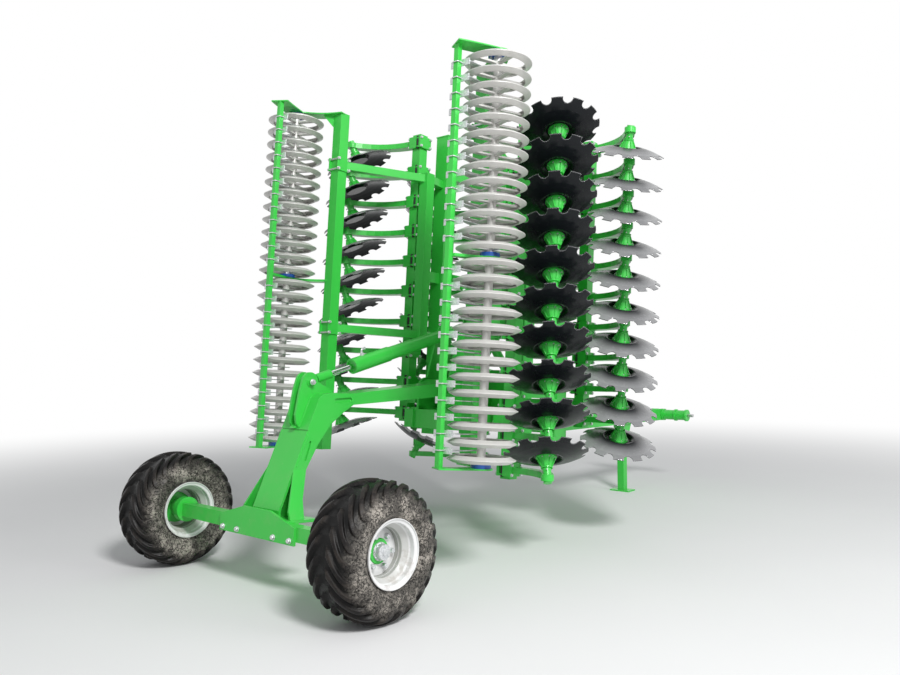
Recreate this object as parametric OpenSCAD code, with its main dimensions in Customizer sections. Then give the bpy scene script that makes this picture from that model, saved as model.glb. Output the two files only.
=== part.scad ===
// Folding disc harrow with two upright wings, ring rollers behind them and a rear transport axle.
// Lengths are millimetres. The machine frame has its origin at the middle of the transport axle,
// +X towards the hitch, +Y to the machine's left and +Z up; stand() sets it down on the ground.

/* [Stance] */
// Nose-down angle at which the machine stands on its parking leg, in degrees
stance_deg = 5; // [4:0.5:6]

/* [Transport wheels] */
// Distance between the middle planes of the two wheels
track = 2254; // [2200:2:2300]
// Outer diameter of a tyre, at the tips of its lugs
tyre_d = 874; // [860:2:890]
// Width of a tyre
tyre_w = 404; // [380:2:420]
// Thickness of a tyre's wall
tyre_wall = 22; // [16:1:28]
// Diameter of the rim's bead seat
rim_seat_d = 394; // [380:2:400]
// Height of the rim's flange above the bead seat
rim_flange = 18; // [12:1:22]
// Width of the rim between its flanges
rim_w = 330; // [300:2:340]
// Thickness of the rim's plate
rim_wall = 10; // [6:1:14]
// Diameter of the circle of wheel studs
stud_circle_d = 205; // [195:1:215]
// Number of wheel studs
stud_count = 6; // [5:1:8]
// Side of the square axle beam
axle_side = 100; // [80:2:110]

/* [Lift arm] */
// Distance of the arm's front pivot ahead of the axle
pivot_x = 1750; // [1700:5:1800]
// Height of the arm's front pivot above the axle
pivot_up = 1048; // [1030:2:1070]
// Diameter of the arm's pivot pin
pivot_pin_d = 70; // [50:2:80]
// Width of the arm's upright box
column_w = 300; // [260:5:320]
// Width of the arm's forward box
boom_w = 210; // [180:5:220]
// Distance of the lift lug's pin ahead of the axle
lug_x = 310; // [290:5:330]
// Height of the lift lug's pin above the axle
lug_up = 1031; // [1021:2:1041]

/* [Centre frame] */
// Distance between the outer faces of the two centre rails
rails_w = 524; // [500:2:530]
// Width of a centre rail
rail_w = 100; // [80:2:120]
// Height of a centre rail
rail_h = 160; // [140:2:180]
// Where the centre rails begin, ahead of the axle
rails_x0 = 1640; // [1620:5:1660]
// Where the centre rails end, ahead of the axle
rails_x1 = 3300; // [3250:5:3350]
// Thickness of the mast's side plates
mast_plate = 20; // [12:1:25]
// Distance of the lift cylinder's upper pin ahead of the axle
lift_pin_x = 1950; // [1930:5:1980]
// Height of the lift cylinder's upper pin above the axle
lift_pin_up = 1563; // [1540:5:1600]

/* [Drawbar] */
// Distance of the hitch shaft ahead of the axle
hitch_x = 5800; // [5700:10:5900]
// Height of the hitch shaft above the axle, square to the frame
hitch_up = 903; // [880:2:920]
// Diameter of the hitch shaft
hitch_d = 118; // [100:1:125]
// Length of the hitch shaft between the shoulders of its pins
hitch_w = 860; // [800:5:900]
// Diameter of the lower link pins
link_pin_d = 36.6; // [28:0.1:38]
// Length of a lower link pin
link_pin_len = 70; // [60:1:80]
// Width of the drawbar
drawbar_w = 180; // [160:5:200]
// Distance of the parking leg's pin ahead of the axle
leg_x = 5000; // [4900:10:5100]
// Depth of the parking leg's pin below the drawbar
leg_drop = 150; // [140:2:165]
// Side of the parking leg's square tube
leg_side = 80; // [60:2:90]

/* [Folding] */
// Distance of a wing's fold hinge from the outer face of the centre rails
fold_out = 58; // [54:1:66]
// Height of a wing's fold hinge above the axle
fold_up = 778; // [770:1:790]
// Diameter of the fold pins
fold_pin_d = 50; // [40:1:60]

/* [Wing frame] */
// Distance of the wing's two main tubes from the middle of the machine, folded
main_y = 500; // [490:1:505]
// Side of a main tube
main_side = 150; // [130:2:160]
// Distance of the rear main tube ahead of the axle
main_x0 = 2300; // [2290:2:2320]
// Distance between the two main tubes
main_gap = 550; // [540:2:580]
// Side of the square beams that carry the disc arms
beam_side = 100; // [90:1:110]

/* [Disc rows] */
// Number of discs in each row of a wing
disc_count = 10; // [8:1:10]
// Distance between neighbouring discs of a row
disc_pitch = 288; // [280:1:292]
// Diameter of a disc
disc_d = 660; // [610:2:670]
// Depth of a disc's dish
dish = 75; // [60:1:80]
// Thickness of a disc
disc_t = 6; // [4:0.5:8]
// Number of notches round a disc's edge
notch_count = 12; // [10:1:14]
// Radius of a notch
notch_r = 40; // [30:1:44]
// Diameter of the flat seat pressed into a disc's middle
seat_d = 190; // [180:2:210]
// Distance of the disc centres from the middle of the machine, folded
disc_y = 1170; // [1150:2:1180]
// Distance of the rear row ahead of the axle
rear_row_x = 1760; // [1740:2:1780]
// Distance between the two rows
row_gap = 1100; // [1080:2:1140]
// Cutting angle of the discs, in degrees
cut_deg = 16; // [12:0.5:18]
// Lean of the discs, in degrees
lean_deg = 17; // [12:0.5:18]
// Height of a disc hub from the disc's seat to its spindle's neck
hub_h = 96; // [90:1:104]
// Diameter of a disc hub's flange
hub_flange_d = 164; // [150:2:170]

/* [Ring rollers] */
// Number of rings on a roller
ring_count = 26; // [22:1:26]
// Distance between neighbouring rings
ring_pitch = 115; // [112:1:116]
// Outer diameter of a ring
ring_d = 500; // [480:2:510]
// Width of a ring
ring_w = 52; // [44:1:58]
// Distance of the roller's shaft ahead of the axle
roller_x = 962; // [950:2:980]
// Distance of the roller's shaft from the middle of the machine, folded
roller_y = 1169; // [1150:2:1175]
// Height of a roller's lowest ring above the axle
roller_up = 540; // [536:1:545]
// Diameter of the roller's shaft
shaft_d = 64; // [56:1:72]
// Side of the roller frame's two upright tubes
roller_tube = 100; // [90:1:110]
// Side of the arms between those tubes
roller_arm = 70; // [60:1:80]
// Side of the scraper bar
bar_side = 40; // [34:1:50]

/* [Hidden] */
$fn = 64;
green = [0.10, 0.50, 0.16];
grey = [0.78, 0.79, 0.80];
black = [0.06, 0.06, 0.07];
blue = [0.08, 0.25, 0.60];
zinc = [0.66, 0.67, 0.68];
rubber = [0.10, 0.10, 0.10];
// Running clearance between a pin and its bore, and between a piece and its seat
run_gap = 0.05;
seat_gap = 0.3;
// Free space beside a moving piece
side_gap = 6;
// Wall of the eyes at both ends of a hydraulic cylinder
eye_wall = 22;

// Distance of a wing's fold hinge from the middle of the machine
fold_y = rails_w / 2 + fold_out;
wheel_r = tyre_d / 2;
collar_r = hitch_d / 2 + 11;
// The ends of the machine along the ground, measured from the axle
front_end = hitch_x * cos(stance_deg) + hitch_up * sin(stance_deg) + collar_r;
mid_x = (front_end - wheel_r) / 2;

// Rear end of the wheels and front end of the hitch lie at equal distances from the origin
module stand() {
    translate([-mid_x, 0, wheel_r]) rotate([0, stance_deg, 0]) children();
}
module on_side(s) {
    mirror([0, s < 0 ? 1 : 0, 0]) children();
}
// A bar along X, Y or Z, with its middle at the start of its length
module bar_x(from, to, w, h) {
    translate([from, -w / 2, -h / 2]) cube([to - from, w, h]);
}
module bar_y(from, to, w, h) {
    translate([-w / 2, from, -h / 2]) cube([w, to - from, h]);
}
module bar_z(from, to, w, d) {
    translate([-w / 2, -d / 2, from]) cube([w, d, to - from]);
}
// A plate drawn in the X-Z plane, from y0 to y1, and one in the Y-Z plane, from x0 to x1
module plate_xz(y0, y1) {
    translate([0, y1, 0]) rotate([90, 0, 0]) linear_extrude(y1 - y0) children();
}
module plate_yz(x0, x1) {
    translate([x0, 0, 0]) rotate([90, 0, 90]) linear_extrude(x1 - x0) children();
}
module rod_x(from, to, r) {
    translate([from, 0, 0]) rotate([0, 90, 0]) cylinder(h = to - from, r = r);
}
module rod_y(from, to, r) {
    translate([0, from, 0]) rotate([-90, 0, 0]) cylinder(h = to - from, r = r);
}
// A point on a circle
function polar(r, a) = [r * cos(a), r * sin(a)];
// A quadratic curve and the outline of a strip along it, whose width runs from w0 to w1
function bend(a, b, c, t) = a * (1 - t) * (1 - t) + b * 2 * t * (1 - t) + c * t * t;
function bend_dir(a, b, c, t) = let(d = (b - a) * (1 - t) + (c - b) * t) d / norm(d);
function strip_side(a, b, c, w0, w1, side, n) = [for (i = [0:n])
    let(t = i / n, d = bend_dir(a, b, c, t))
    bend(a, b, c, t) + side * [-d[1], d[0]] * (w0 + (w1 - w0) * t) / 2];
function strip(a, b, c, w0, w1, n) = concat(
    strip_side(a, b, c, w0, w1, 1, n),
    [for (i = [n:-1:0]) strip_side(a, b, c, w0, w1, -1, n)[i]]);

// Centre frame

rail_top = fold_up + rail_h / 2;
rail_low = fold_up - rail_h / 2;
deck_t = 15;
deck_top = rail_top + deck_t;
mast_in = boom_w / 2 + 15;
fold_lug_t = 20;
// Where the deck begins, and where the mast's side plates begin behind it
deck_x0 = 1860;
mast_x0 = rails_x0 + 20;
// Pairs of fold lugs: one pair at each main tube of a wing
fold_lug_x = [main_x0, main_x0 + main_gap];
fold_lug_out = main_side / 2 - 5;
// Cross members between the rails, and the plate that closes them in front
rail_ties = [rails_x0 + 60, 2150, 2575, rails_x1 - 40];
front_plate = 25;
module centre_frame() {
    color(green) stand() {
        for (s = [-1, 1]) {
            translate([0, s * (rails_w - rail_w) / 2, fold_up]) bar_x(rails_x0, rails_x1, rail_w, rail_h);
            for (x = fold_lug_x, e = [-1, 1])
                on_side(s) translate([x + e * (fold_lug_out - fold_lug_t / 2), 0, 0]) fold_lug();
        }
        for (x = rail_ties)
            translate([x, 0, fold_up]) bar_y(-rails_w / 2 + rail_w, rails_w / 2 - rail_w, 80, rail_h);
        translate([rails_x1, -rails_w / 2, rail_low]) cube([front_plate, rails_w, rail_h + deck_t]);
    }
}
module fold_lug() {
    lug_r = fold_out - 13;
    plate_yz(-fold_lug_t / 2, fold_lug_t / 2) difference() {
        union() {
            translate([fold_y, fold_up]) circle(r = lug_r);
            translate([rails_w / 2 - 1, fold_up - lug_r]) square([fold_y - rails_w / 2 + 1, 2 * lug_r]);
        }
        translate([fold_y, fold_up]) circle(d = fold_pin_d + 2 * run_gap);
    }
}

// Mast: side plates for the lift arm and its cylinder, and the cross plates of the fold cylinders

tower_y = 280;
tower_up = 1183;
tower_x = [2360, 2490, 2620];
fold_cyl_x = [(tower_x[1] + tower_x[2] + mast_plate) / 2, (tower_x[0] + tower_x[1] + mast_plate) / 2];
tower_pin_r = 20;
function side_index(s) = s < 0 ? 0 : 1;
module mast() {
    color(green) stand() {
        difference() {
            union() {
                translate([deck_x0, -rails_w / 2, rail_top]) cube([rails_x1 - deck_x0, rails_w, deck_t]);
                for (s = [-1, 1]) on_side(s) {
                    plate_xz(mast_in, mast_in + mast_plate) mast_outline();
                    plate_xz(mast_in, rails_w / 2 - rail_w / 2) polygon([
                        [mast_x0, rail_top], [deck_x0, rail_top], [deck_x0, deck_top], [mast_x0, deck_top]]);
                }
                for (x = tower_x) plate_yz(x, x + mast_plate) tower_outline();
            }
            translate([pivot_x, 0, pivot_up]) rod_y(-rails_w, rails_w, pivot_pin_d / 2 + run_gap);
            translate([lift_pin_x, 0, lift_pin_up]) rod_y(-rails_w, rails_w, tower_pin_r + run_gap);
        }
        // Pins of the two fold cylinders, each in its own slot
        for (s = [-1, 1]) translate([fold_cyl_x[side_index(s)], -s * tower_y, tower_up])
            rod_x(-tower_slot / 2 - 1, tower_slot / 2 + 1, tower_pin_r);
    }
}
tower_slot = tower_x[1] - tower_x[0] - mast_plate;
module mast_outline() {
    union() {
        translate([pivot_x, pivot_up]) circle(r = pivot_pin_d / 2 + 55);
        translate([lift_pin_x, lift_pin_up]) circle(r = tower_pin_r + 50);
        polygon([
            [mast_x0, rail_top], [tower_x[0], rail_top], [tower_x[0], deck_top + 60],
            [lift_pin_x + 70, lift_pin_up], [lift_pin_x - 68, lift_pin_up + 10],
            [pivot_x + 10, pivot_up + 90], [pivot_x - 90, pivot_up], [mast_x0, rail_top + 60]]);
    }
}
module tower_outline() {
    half = rails_w / 2;
    polygon([
        [-half, rail_top + deck_t - 1], [half, rail_top + deck_t - 1], [tower_y + 55, tower_up - 60],
        [tower_y + 55, tower_up + 40], [tower_y + 30, tower_up + 60], [120, tower_up + 60], [70, tower_up],
        [-70, tower_up], [-120, tower_up + 60], [-tower_y - 30, tower_up + 60],
        [-tower_y - 55, tower_up + 40], [-tower_y - 55, tower_up - 60]]);
}

// Drawbar, hitch shaft and parking leg

drawbar_x0 = rails_x1 + front_plate;
drawbar_x1 = hitch_x - hitch_d / 2 - 1;
drawbar_h = [220, 140];
function drawbar_mid(x) = fold_up + (hitch_up - fold_up) * (x - drawbar_x0) / (hitch_x - drawbar_x0);
function drawbar_tall(x) =
    drawbar_h[0] + (drawbar_h[1] - drawbar_h[0]) * (x - drawbar_x0) / (hitch_x - drawbar_x0);
function drawbar_low(x) = drawbar_mid(x) - drawbar_tall(x) / 2;
leg_up = drawbar_low(leg_x) - leg_drop;
leg_ear_t = 15;
leg_ear_in = leg_side / 2 + side_gap;
// Length, width and thickness of the parking leg's foot
leg_foot = [160, 240, 15];
// Lengths of the gussets beside the drawbar's root, where they start to narrow and where they end
root_gusset = [60, 420];
// Width of a collar on the hitch shaft, and distance of the middle collars from the machine's middle
collar_w = 22;
collar_mid_y = 270;
leg_pin_r = 15;
module drawbar() {
    color(green) stand() difference() {
        union() {
            plate_xz(-drawbar_w / 2, drawbar_w / 2) polygon([
                [drawbar_x0, drawbar_low(drawbar_x0)], [drawbar_x1, drawbar_low(drawbar_x1)],
                [drawbar_x1, drawbar_low(drawbar_x1) + drawbar_tall(drawbar_x1)],
                [drawbar_x0, drawbar_low(drawbar_x0) + drawbar_tall(drawbar_x0)]]);
            // Root plate and its side gussets
            translate([drawbar_x0, -rails_w / 2, rail_low]) cube([20, rails_w, rail_h]);
            translate([0, 0, fold_up]) linear_extrude(16, center = true) polygon([
                [drawbar_x0, -rails_w / 2], [drawbar_x0 + root_gusset[0], -rails_w / 2],
                [drawbar_x0 + root_gusset[1], -drawbar_w / 2], [drawbar_x0 + root_gusset[1], drawbar_w / 2],
                [drawbar_x0 + root_gusset[0], rails_w / 2], [drawbar_x0, rails_w / 2]]);
            // Cheeks that hold the hitch shaft
            for (s = [-1, 1]) on_side(s) plate_xz(drawbar_w / 2, drawbar_w / 2 + 20) union() {
                translate([hitch_x, hitch_up]) circle(r = hitch_d / 2 + 11);
                polygon([
                    [hitch_x - 320, drawbar_mid(hitch_x - 320) - 60],
                    [hitch_x, hitch_up - hitch_d / 2 - 11], [hitch_x, hitch_up + hitch_d / 2 + 11],
                    [hitch_x - 320, drawbar_mid(hitch_x - 320) + 60]]);
            }
            // Ears of the parking leg
            for (s = [-1, 1]) on_side(s) plate_xz(leg_ear_in, leg_ear_in + leg_ear_t) union() {
                translate([leg_x, leg_up]) circle(r = leg_pin_r + 30);
                polygon([
                    [leg_x - 45, leg_up], [leg_x + 45, leg_up],
                    [leg_x + 130, drawbar_mid(leg_x)], [leg_x - 130, drawbar_mid(leg_x)]]);
            }
            translate([leg_x, 0, leg_up]) rod_y(-leg_ear_in - 22, leg_ear_in + 22, leg_pin_r);
        }
        translate([hitch_x, 0, hitch_up]) rod_y(-drawbar_w, drawbar_w, hitch_d / 2 + seat_gap);
    }
}
module hitch_shaft() {
    color(green) stand() translate([hitch_x, 0, hitch_up]) {
        rod_y(-hitch_w / 2, hitch_w / 2, hitch_d / 2);
        for (s = [-1, 1]) on_side(s) {
            for (y = [drawbar_w / 2 + collar_w, collar_mid_y, hitch_w / 2 - collar_w - 2])
                translate([0, y, 0]) rod_y(0, collar_w, collar_r);
            translate([0, hitch_w / 2 - 1, 0]) rod_y(0, link_pin_len + 1, link_pin_d / 2);
        }
    }
}
// The leg stands upright on the ground whatever the stance, so it is placed at its pin in ground coordinates
leg_ground_x = leg_x * cos(stance_deg) + leg_up * sin(stance_deg) - mid_x;
leg_ground_z = wheel_r - leg_x * sin(stance_deg) + leg_up * cos(stance_deg);
module parking_leg() {
    color(green) translate([leg_ground_x, 0, 0]) difference() {
        union() {
            bar_z(leg_foot[2], leg_ground_z, leg_side, leg_side);
            translate([0, 0, leg_ground_z]) rod_y(-leg_side / 2, leg_side / 2, leg_side / 2);
            translate([-leg_foot[0] / 2, -leg_foot[1] / 2, 0]) cube(leg_foot);
        }
        translate([0, 0, leg_ground_z]) rod_y(-leg_side, leg_side, leg_pin_r + run_gap);
    }
}

// Lift arm with its shoe, axle and wheels

shoe_t = 20;
beam_top = axle_side / 2 + shoe_t;
lug_eye_w = 46;
lug_gap = lug_eye_w + 4;
lug_t = 20;
lug_r = 73;
lug_pin_r = 25;
arm_plate = 20;
// Height below which the upright box opens into a rear plate, a front plate and two splayed sides
split_up = 400;
// Height at which the rear plate of the upright box ends, below the lugs
seam_up = 676;
splay_y = 285;
// Rear and front edges of the upright box in side view: height, distance ahead of the axle
arm_rear = [[beam_top, 10], [120, 10], [seam_up, 221], [917, 318], [942, 350]];
arm_front = [[beam_top, 130], [200, 150], [split_up, 232], [580, 330], [726, 441], [813, 555], [875, 655]];
elbow_top = [[431, 956], [655, 962]];
// Upper and lower edges of the forward box, at the elbow and where they reach the pivot's boss
boom_x = [600, 1620];
boom_up = [[952, 866], [pivot_up + 32, pivot_up - 82]];
pivot_reach = mast_in + mast_plate + 14;
// Slots in the arm's sides: both ends of the middle line, and the width
arm_slots = [[[484, 900], [619, 912], 38], [[219, 468], [255, 593], 20]];
function points_up(edge) = [for (p = edge) [p[1], p[0]]];
function points_down(edge) = [for (i = [len(edge) - 1:-1:0]) [edge[i][1], edge[i][0]]];
function arm_edge(edge, up, t) = [lookup(up, edge) + t, up];
// The open space between the rear and the front plate, below the point where the sides splay
module arm_hollow() {
    polygon([
        arm_edge(arm_rear, beam_top - 1, arm_plate), arm_edge(arm_rear, 120, arm_plate),
        arm_edge(arm_rear, split_up, arm_plate), arm_edge(arm_front, split_up, -arm_plate),
        arm_edge(arm_front, 200, -arm_plate), arm_edge(arm_front, beam_top - 1, -arm_plate)]);
}
module column_outline(lo, hi) {
    intersection() {
        polygon(concat(points_up(arm_rear), elbow_top, points_down(arm_front)));
        translate([0, lo]) square([elbow_top[1][0] + 45, hi - lo]);
    }
}
module slot(from, to, w) {
    d = to - from;
    for (p = [from, to]) translate(p) circle(d = w);
    translate(from) rotate(atan2(d[1], d[0])) translate([0, 0.5 - w / 2]) square([norm(d), w - 1]);
}
module lift_lug() {
    translate([lug_x, lug_up]) circle(r = lug_r);
    polygon([
        [lug_x - 72, lug_up + 14], [lug_x - 93, lug_up - 63], [lug_x - 121, lug_up - 245],
        [lug_x - 107, lug_up - 306], [arm_rear[2][1] + 10, seam_up + 14], [lug_x + 20, lug_up - 331],
        [lug_x + 250, lug_up - 101], [lug_x + 192, lug_up - 45], [lug_x + 73, lug_up + 5]]);
}
module lift_arm() {
    half = column_w / 2;
    color(green) stand() difference() {
        union() {
            // Upright box, closed above the point where its sides splay
            difference() {
                plate_xz(-half, half) column_outline(beam_top, elbow_top[1][1] + 38);
                plate_xz(-half - 1, half + 1) arm_hollow();
            }
            for (s = [-1, 1]) on_side(s) intersection() {
                plate_xz(0, splay_y + 1) column_outline(beam_top, split_up + 100);
                plate_yz(0, 400) polygon([
                    [half - arm_plate, split_up + 50], [half, split_up + 50], [half, split_up],
                    [splay_y, beam_top], [splay_y - arm_plate, beam_top]]);
            }
            // Forward box from the elbow to the pivot
            plate_xz(-boom_w / 2, boom_w / 2) polygon([
                [boom_x[0], boom_up[0][0]], [boom_x[1], boom_up[1][0]], [pivot_x, pivot_up + 70],
                [pivot_x, pivot_up - 70], [boom_x[1], boom_up[1][1]], [boom_x[0], boom_up[0][1]]]);
            translate([pivot_x, 0, pivot_up]) rod_y(-boom_w / 2, boom_w / 2, pivot_pin_d / 2 + 40);
            // Pivot pin, which turns in the mast's side plates
            translate([pivot_x, 0, pivot_up]) rod_y(-pivot_reach, pivot_reach, pivot_pin_d / 2);
            // Lugs of the lift cylinder, the gusset between them and the outer ends of their pin
            for (s = [-1, 1]) on_side(s) {
                plate_xz(lug_gap / 2, lug_gap / 2 + lug_t) lift_lug();
                translate([lug_x, lug_gap / 2 + lug_t, lug_up]) {
                    rod_y(-lug_t, 26, lug_pin_r);
                    rod_y(-1, 8, lug_pin_r + 10);
                }
            }
            plate_xz(-lug_gap / 2, lug_gap / 2) polygon([
                [lug_x - 115, seam_up + 14], [lug_x - 30, seam_up + 14], [lug_x - 20, lug_up - 251]]);
        }
        // Groove above the rear plate, and the slots in the sides
        translate([0, -half - 1, seam_up]) cube([232, column_w + 2, 7]);
        for (s = [-1, 1]) on_side(s) plate_xz(half - 15, half + 1) {
            for (p = arm_slots) slot(p[0], p[1], p[2]);
        }
    }
}
// Outline of the shoe's rear plate, which rises to the arm, and of its lower front plate
shoe_half = 430;
shoe_low = -axle_side / 2 - 25;
shoe_rear = [
    [-shoe_half, shoe_low], [shoe_half, shoe_low], [shoe_half, 45],
    [column_w / 2, 127], [-column_w / 2, 127], [-shoe_half, 45]];
shoe_front = [
    [-shoe_half, shoe_low], [shoe_half, shoe_low], [shoe_half, shoe_low + 20],
    [column_w, 51], [-column_w, 51], [-shoe_half, shoe_low + 20]];
// The shoe's top plate: how far it reaches ahead of the axle, and its width
shoe_top = [240, 600];
// Bolts of the shoe: distances from its middle, and height
shoe_bolt_y = [210, 385];
shoe_bolt_up = 5 - axle_side / 2;
module axle_shoe() {
    half = axle_side / 2;
    color(green) stand() {
        translate([-half - shoe_t + 1, -shoe_top[1] / 2, half])
            cube([shoe_top[0] + half + shoe_t, shoe_top[1], shoe_t]);
        plate_yz(-half - shoe_t, -half) polygon(shoe_rear);
        plate_yz(half, half + shoe_t) polygon(shoe_front);
        // Heads of the bolts that clamp the two side plates to the beam
        for (e = [-1, 1], y = shoe_bolt_y) translate([0, e * y, shoe_bolt_up]) {
            rod_x(-half - shoe_t - 14, -half - 2, 13);
            rod_x(half + 2, half + shoe_t + 14, 13);
        }
    }
}
hub_in_y = track / 2 - 150;
spindle_r = 38;
module axle_beam() {
    color(green) stand() {
        bar_y(-hub_in_y + 1, hub_in_y - 1, axle_side, axle_side);
        for (s = [-1, 1]) on_side(s) translate([0, hub_in_y - 1, 0]) rod_y(0, 121, spindle_r);
    }
}
// Outline of a tyre's outer and inner skin, from bead to bead: radius, distance from its middle plane
tyre_lug_h = 16;
tyre_facets = 28;
tyre_lugs = 11;
tyre_seat = (rim_seat_d / 2 + seat_gap) / cos(180 / tyre_facets);
tyre_crown = wheel_r - tyre_lug_h;
tyre_half = [
    [tyre_seat, rim_w / 2 - 1], [tyre_seat + rim_flange + 4, rim_w / 2 + 2],
    [tyre_seat + 75, tyre_w / 2 - 8], [tyre_seat + 130, tyre_w / 2],
    [tyre_crown - 30, tyre_w / 2 - 16], [tyre_crown, tyre_w / 2 - 80]];
tyre_inner = [
    [tyre_crown - 30, tyre_w / 2 - 90], [tyre_seat + 110, tyre_w / 2 - tyre_wall],
    [tyre_seat, rim_w / 2 - 40]];
function flip(edge) = [for (i = [len(edge) - 1:-1:0]) [edge[i][0], -edge[i][1]]];
function ring_point(p, a) = [p[0] * cos(a), p[0] * sin(a), p[1]];
// A closed ring of flat facets whose section is the given outline
module facet_ring(edge, n) {
    m = len(edge);
    polyhedron(
        [for (i = [0:n - 1], p = edge) ring_point(p, i * 360 / n)],
        [for (i = [0:n - 1], k = [0:m - 1]) [
            i * m + k, ((i + 1) % n) * m + k, ((i + 1) % n) * m + (k + 1) % m, i * m + (k + 1) % m]]);
}
// A lug runs from near the middle over the shoulder: radius of its top, distance from the middle, angle
lug_line = [[wheel_r, 12, 0], [wheel_r - 4, 125, 9], [wheel_r - 38, 196, 15]];
lug_width = 44;
module tyre_lug(side) {
    pts = [for (p = lug_line, e = [-1, 1], d = [0, -tyre_lug_h - 12])
        ring_point([p[0] + d, side * p[1]],
            side * p[2] + e * lug_width / 2 * 180 / (wheel_r * 3.14159))];
    faces = concat([[0, 1, 3, 2], [8, 10, 11, 9]], [for (i = [0, 4], f = [
        [0, 4, 1], [1, 4, 5], [2, 3, 6], [3, 7, 6],
        [0, 2, 4], [2, 6, 4], [1, 5, 3], [3, 5, 7]]) f + [i, i, i]]);
    polyhedron(pts, side < 0 ? faces : [for (f = faces) [for (i = [len(f) - 1:-1:0]) f[i]]]);
}
module tyre(s) {
    on_side(s) color(rubber) stand() translate([0, track / 2, 0]) rotate([-90, 0, 0]) {
        facet_ring(concat(tyre_half, flip(tyre_half), flip(tyre_inner), tyre_inner), tyre_facets);
        for (i = [0:tyre_lugs - 1], side = [-1, 1])
            rotate([0, 0, (i + (side > 0 ? 0 : 0.5)) * 360 / tyre_lugs]) tyre_lug(side);
    }
}
rim_disc_y = 70;
module rim(s) {
    seat = rim_seat_d / 2;
    outer = rim_w / 2 + 18;
    on_side(s) color(grey) stand() translate([0, track / 2, 0]) rotate([-90, 0, 0]) difference() {
        rotate_extrude() union() {
            polygon([
                [seat + rim_flange, -outer], [seat + rim_flange, -outer + 12], [seat, -rim_w / 2 - 1],
                [seat, -rim_w / 2 + 38], [seat - 34, -rim_w / 2 + 70], [seat - 34, rim_w / 2 - 70],
                [seat, rim_w / 2 - 38], [seat, rim_w / 2 + 1], [seat + rim_flange, outer - 12],
                [seat + rim_flange, outer], [seat + rim_flange - 6, outer], [seat - rim_wall, rim_w / 2 + 4],
                [seat - rim_wall, rim_w / 2 - 42], [seat - 34 - rim_wall, rim_w / 2 - 74],
                [seat - 34 - rim_wall, 74 - rim_w / 2], [seat - rim_wall, 42 - rim_w / 2],
                [seat - rim_wall, -rim_w / 2 - 4], [seat + rim_flange - 6, -outer]]);
            polygon([
                [80, rim_disc_y], [130, rim_disc_y], [seat - 35 - rim_wall + 2, rim_disc_y - 40],
                [seat - 35 - rim_wall + 2, rim_disc_y - 40 + 14],
                [130, rim_disc_y + 12], [80, rim_disc_y + 12]]);
        }
        for (i = [0:stud_count - 1]) rotate([0, 0, (i + 0.5) * 360 / stud_count])
            translate([stud_circle_d / 2, 0, 0]) cylinder(h = rim_w, r = 10);
    }
}
module wheel_hub(s) {
    drum_in = hub_in_y - track / 2;
    on_side(s) color(green) stand() translate([0, track / 2, 0]) rotate([-90, 0, 0]) difference() {
        union() {
            rotate_extrude() polygon([
                [0, drum_in], [95, drum_in], [95, drum_in + 60], [70, drum_in + 80], [62, 20],
                [122, 40], [122, rim_disc_y], [78, rim_disc_y], [78, rim_disc_y + 22], [48, rim_disc_y + 26],
                [48, rim_disc_y + 80], [0, rim_disc_y + 88]]);
            for (i = [0:stud_count - 1]) rotate([0, 0, (i + 0.5) * 360 / stud_count])
                translate([stud_circle_d / 2, 0, rim_disc_y - 20]) cylinder(h = 62, r = 9);
        }
        translate([0, 0, drum_in - 1]) cylinder(h = 122, r = spindle_r + run_gap);
    }
}

// Disc rows. Unfolded, the rear row turns its hubs to the machine's left and the front row to its right.
// Each row: place ahead of the axle, side of the hubs, shift of the whole row to the left when unfolded.

rear_row = [rear_row_x, 1, 22];
front_row = [rear_row_x + row_gap, -1, -38];
arm_rise = 190;
arm_t = 50;
beam_x_ahead = 270;
outrigger = 100;
beam_y = main_y - 35 + outrigger + beam_side / 2;
clamp_len = 110;
clamp_side = 150;
sphere_r = (pow(disc_d / 2, 2) + pow(dish, 2)) / (2 * dish);
seat_h = 38;
function first_up(s, row) = fold_up - fold_y + disc_pitch / 2 + s * row[2];
function disc_up(s, row, k) = first_up(s, row) + k * disc_pitch;
function clamp_up(s, row, k) = disc_up(s, row, k) + s * row[1] * arm_rise;
function dish_at(r) = sqrt(sphere_r * sphere_r - r * r) - (sphere_r - dish);
// The direction from a disc to its hub: rearwards, outwards and up or down the folded wing
function hub_dir(s, row) = [
    -sin(cut_deg) * cos(lean_deg), sin(lean_deg), s * row[1] * cos(cut_deg) * cos(lean_deg)];
module aim(v) {
    rotate([0, acos(v[2] / norm(v)), atan2(v[1], v[0])]) children();
}
module at_discs(s, row) {
    for (k = [0:disc_count - 1]) on_side(s) translate([row[0], disc_y, disc_up(s, row, k)])
        aim(hub_dir(s, row)) children();
}
module disc() {
    ring = seat_d / 2 + 30;
    edge = disc_d / 2;
    radii = [ring + 12, 180, 230, edge - notch_r - 8, edge];
    difference() {
        rotate_extrude($fn = 72) polygon(concat(
            [[0, seat_h - disc_t], [0, seat_h], [seat_d / 2, seat_h], [ring, dish_at(ring) - 4]],
            [for (r = radii) [r, dish_at(r)]],
            [for (i = [len(radii) - 1:-1:0]) [radii[i], dish_at(radii[i]) - disc_t]],
            [[ring + 3, dish_at(ring) - 4 - disc_t], [seat_d / 2 + 3, seat_h - disc_t]]));
        for (i = [0:notch_count - 1]) rotate([0, 0, i * 360 / notch_count])
            translate([edge - 5, 0, -disc_t - 20]) cylinder(h = 60, r = notch_r, $fn = 24);
    }
}
module disc_row(s, row) {
    color(black) stand() at_discs(s, row) disc();
}
module disc_hub() {
    flange_r = hub_flange_d / 2;
    top = seat_h + hub_h;
    rotate_extrude($fn = 32) polygon([
        [0, seat_h], [flange_r, seat_h], [flange_r, seat_h + 12], [flange_r - 12, seat_h + 16],
        [41, top - 14], [46, top - 12], [46, top], [0, top]]);
}
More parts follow.
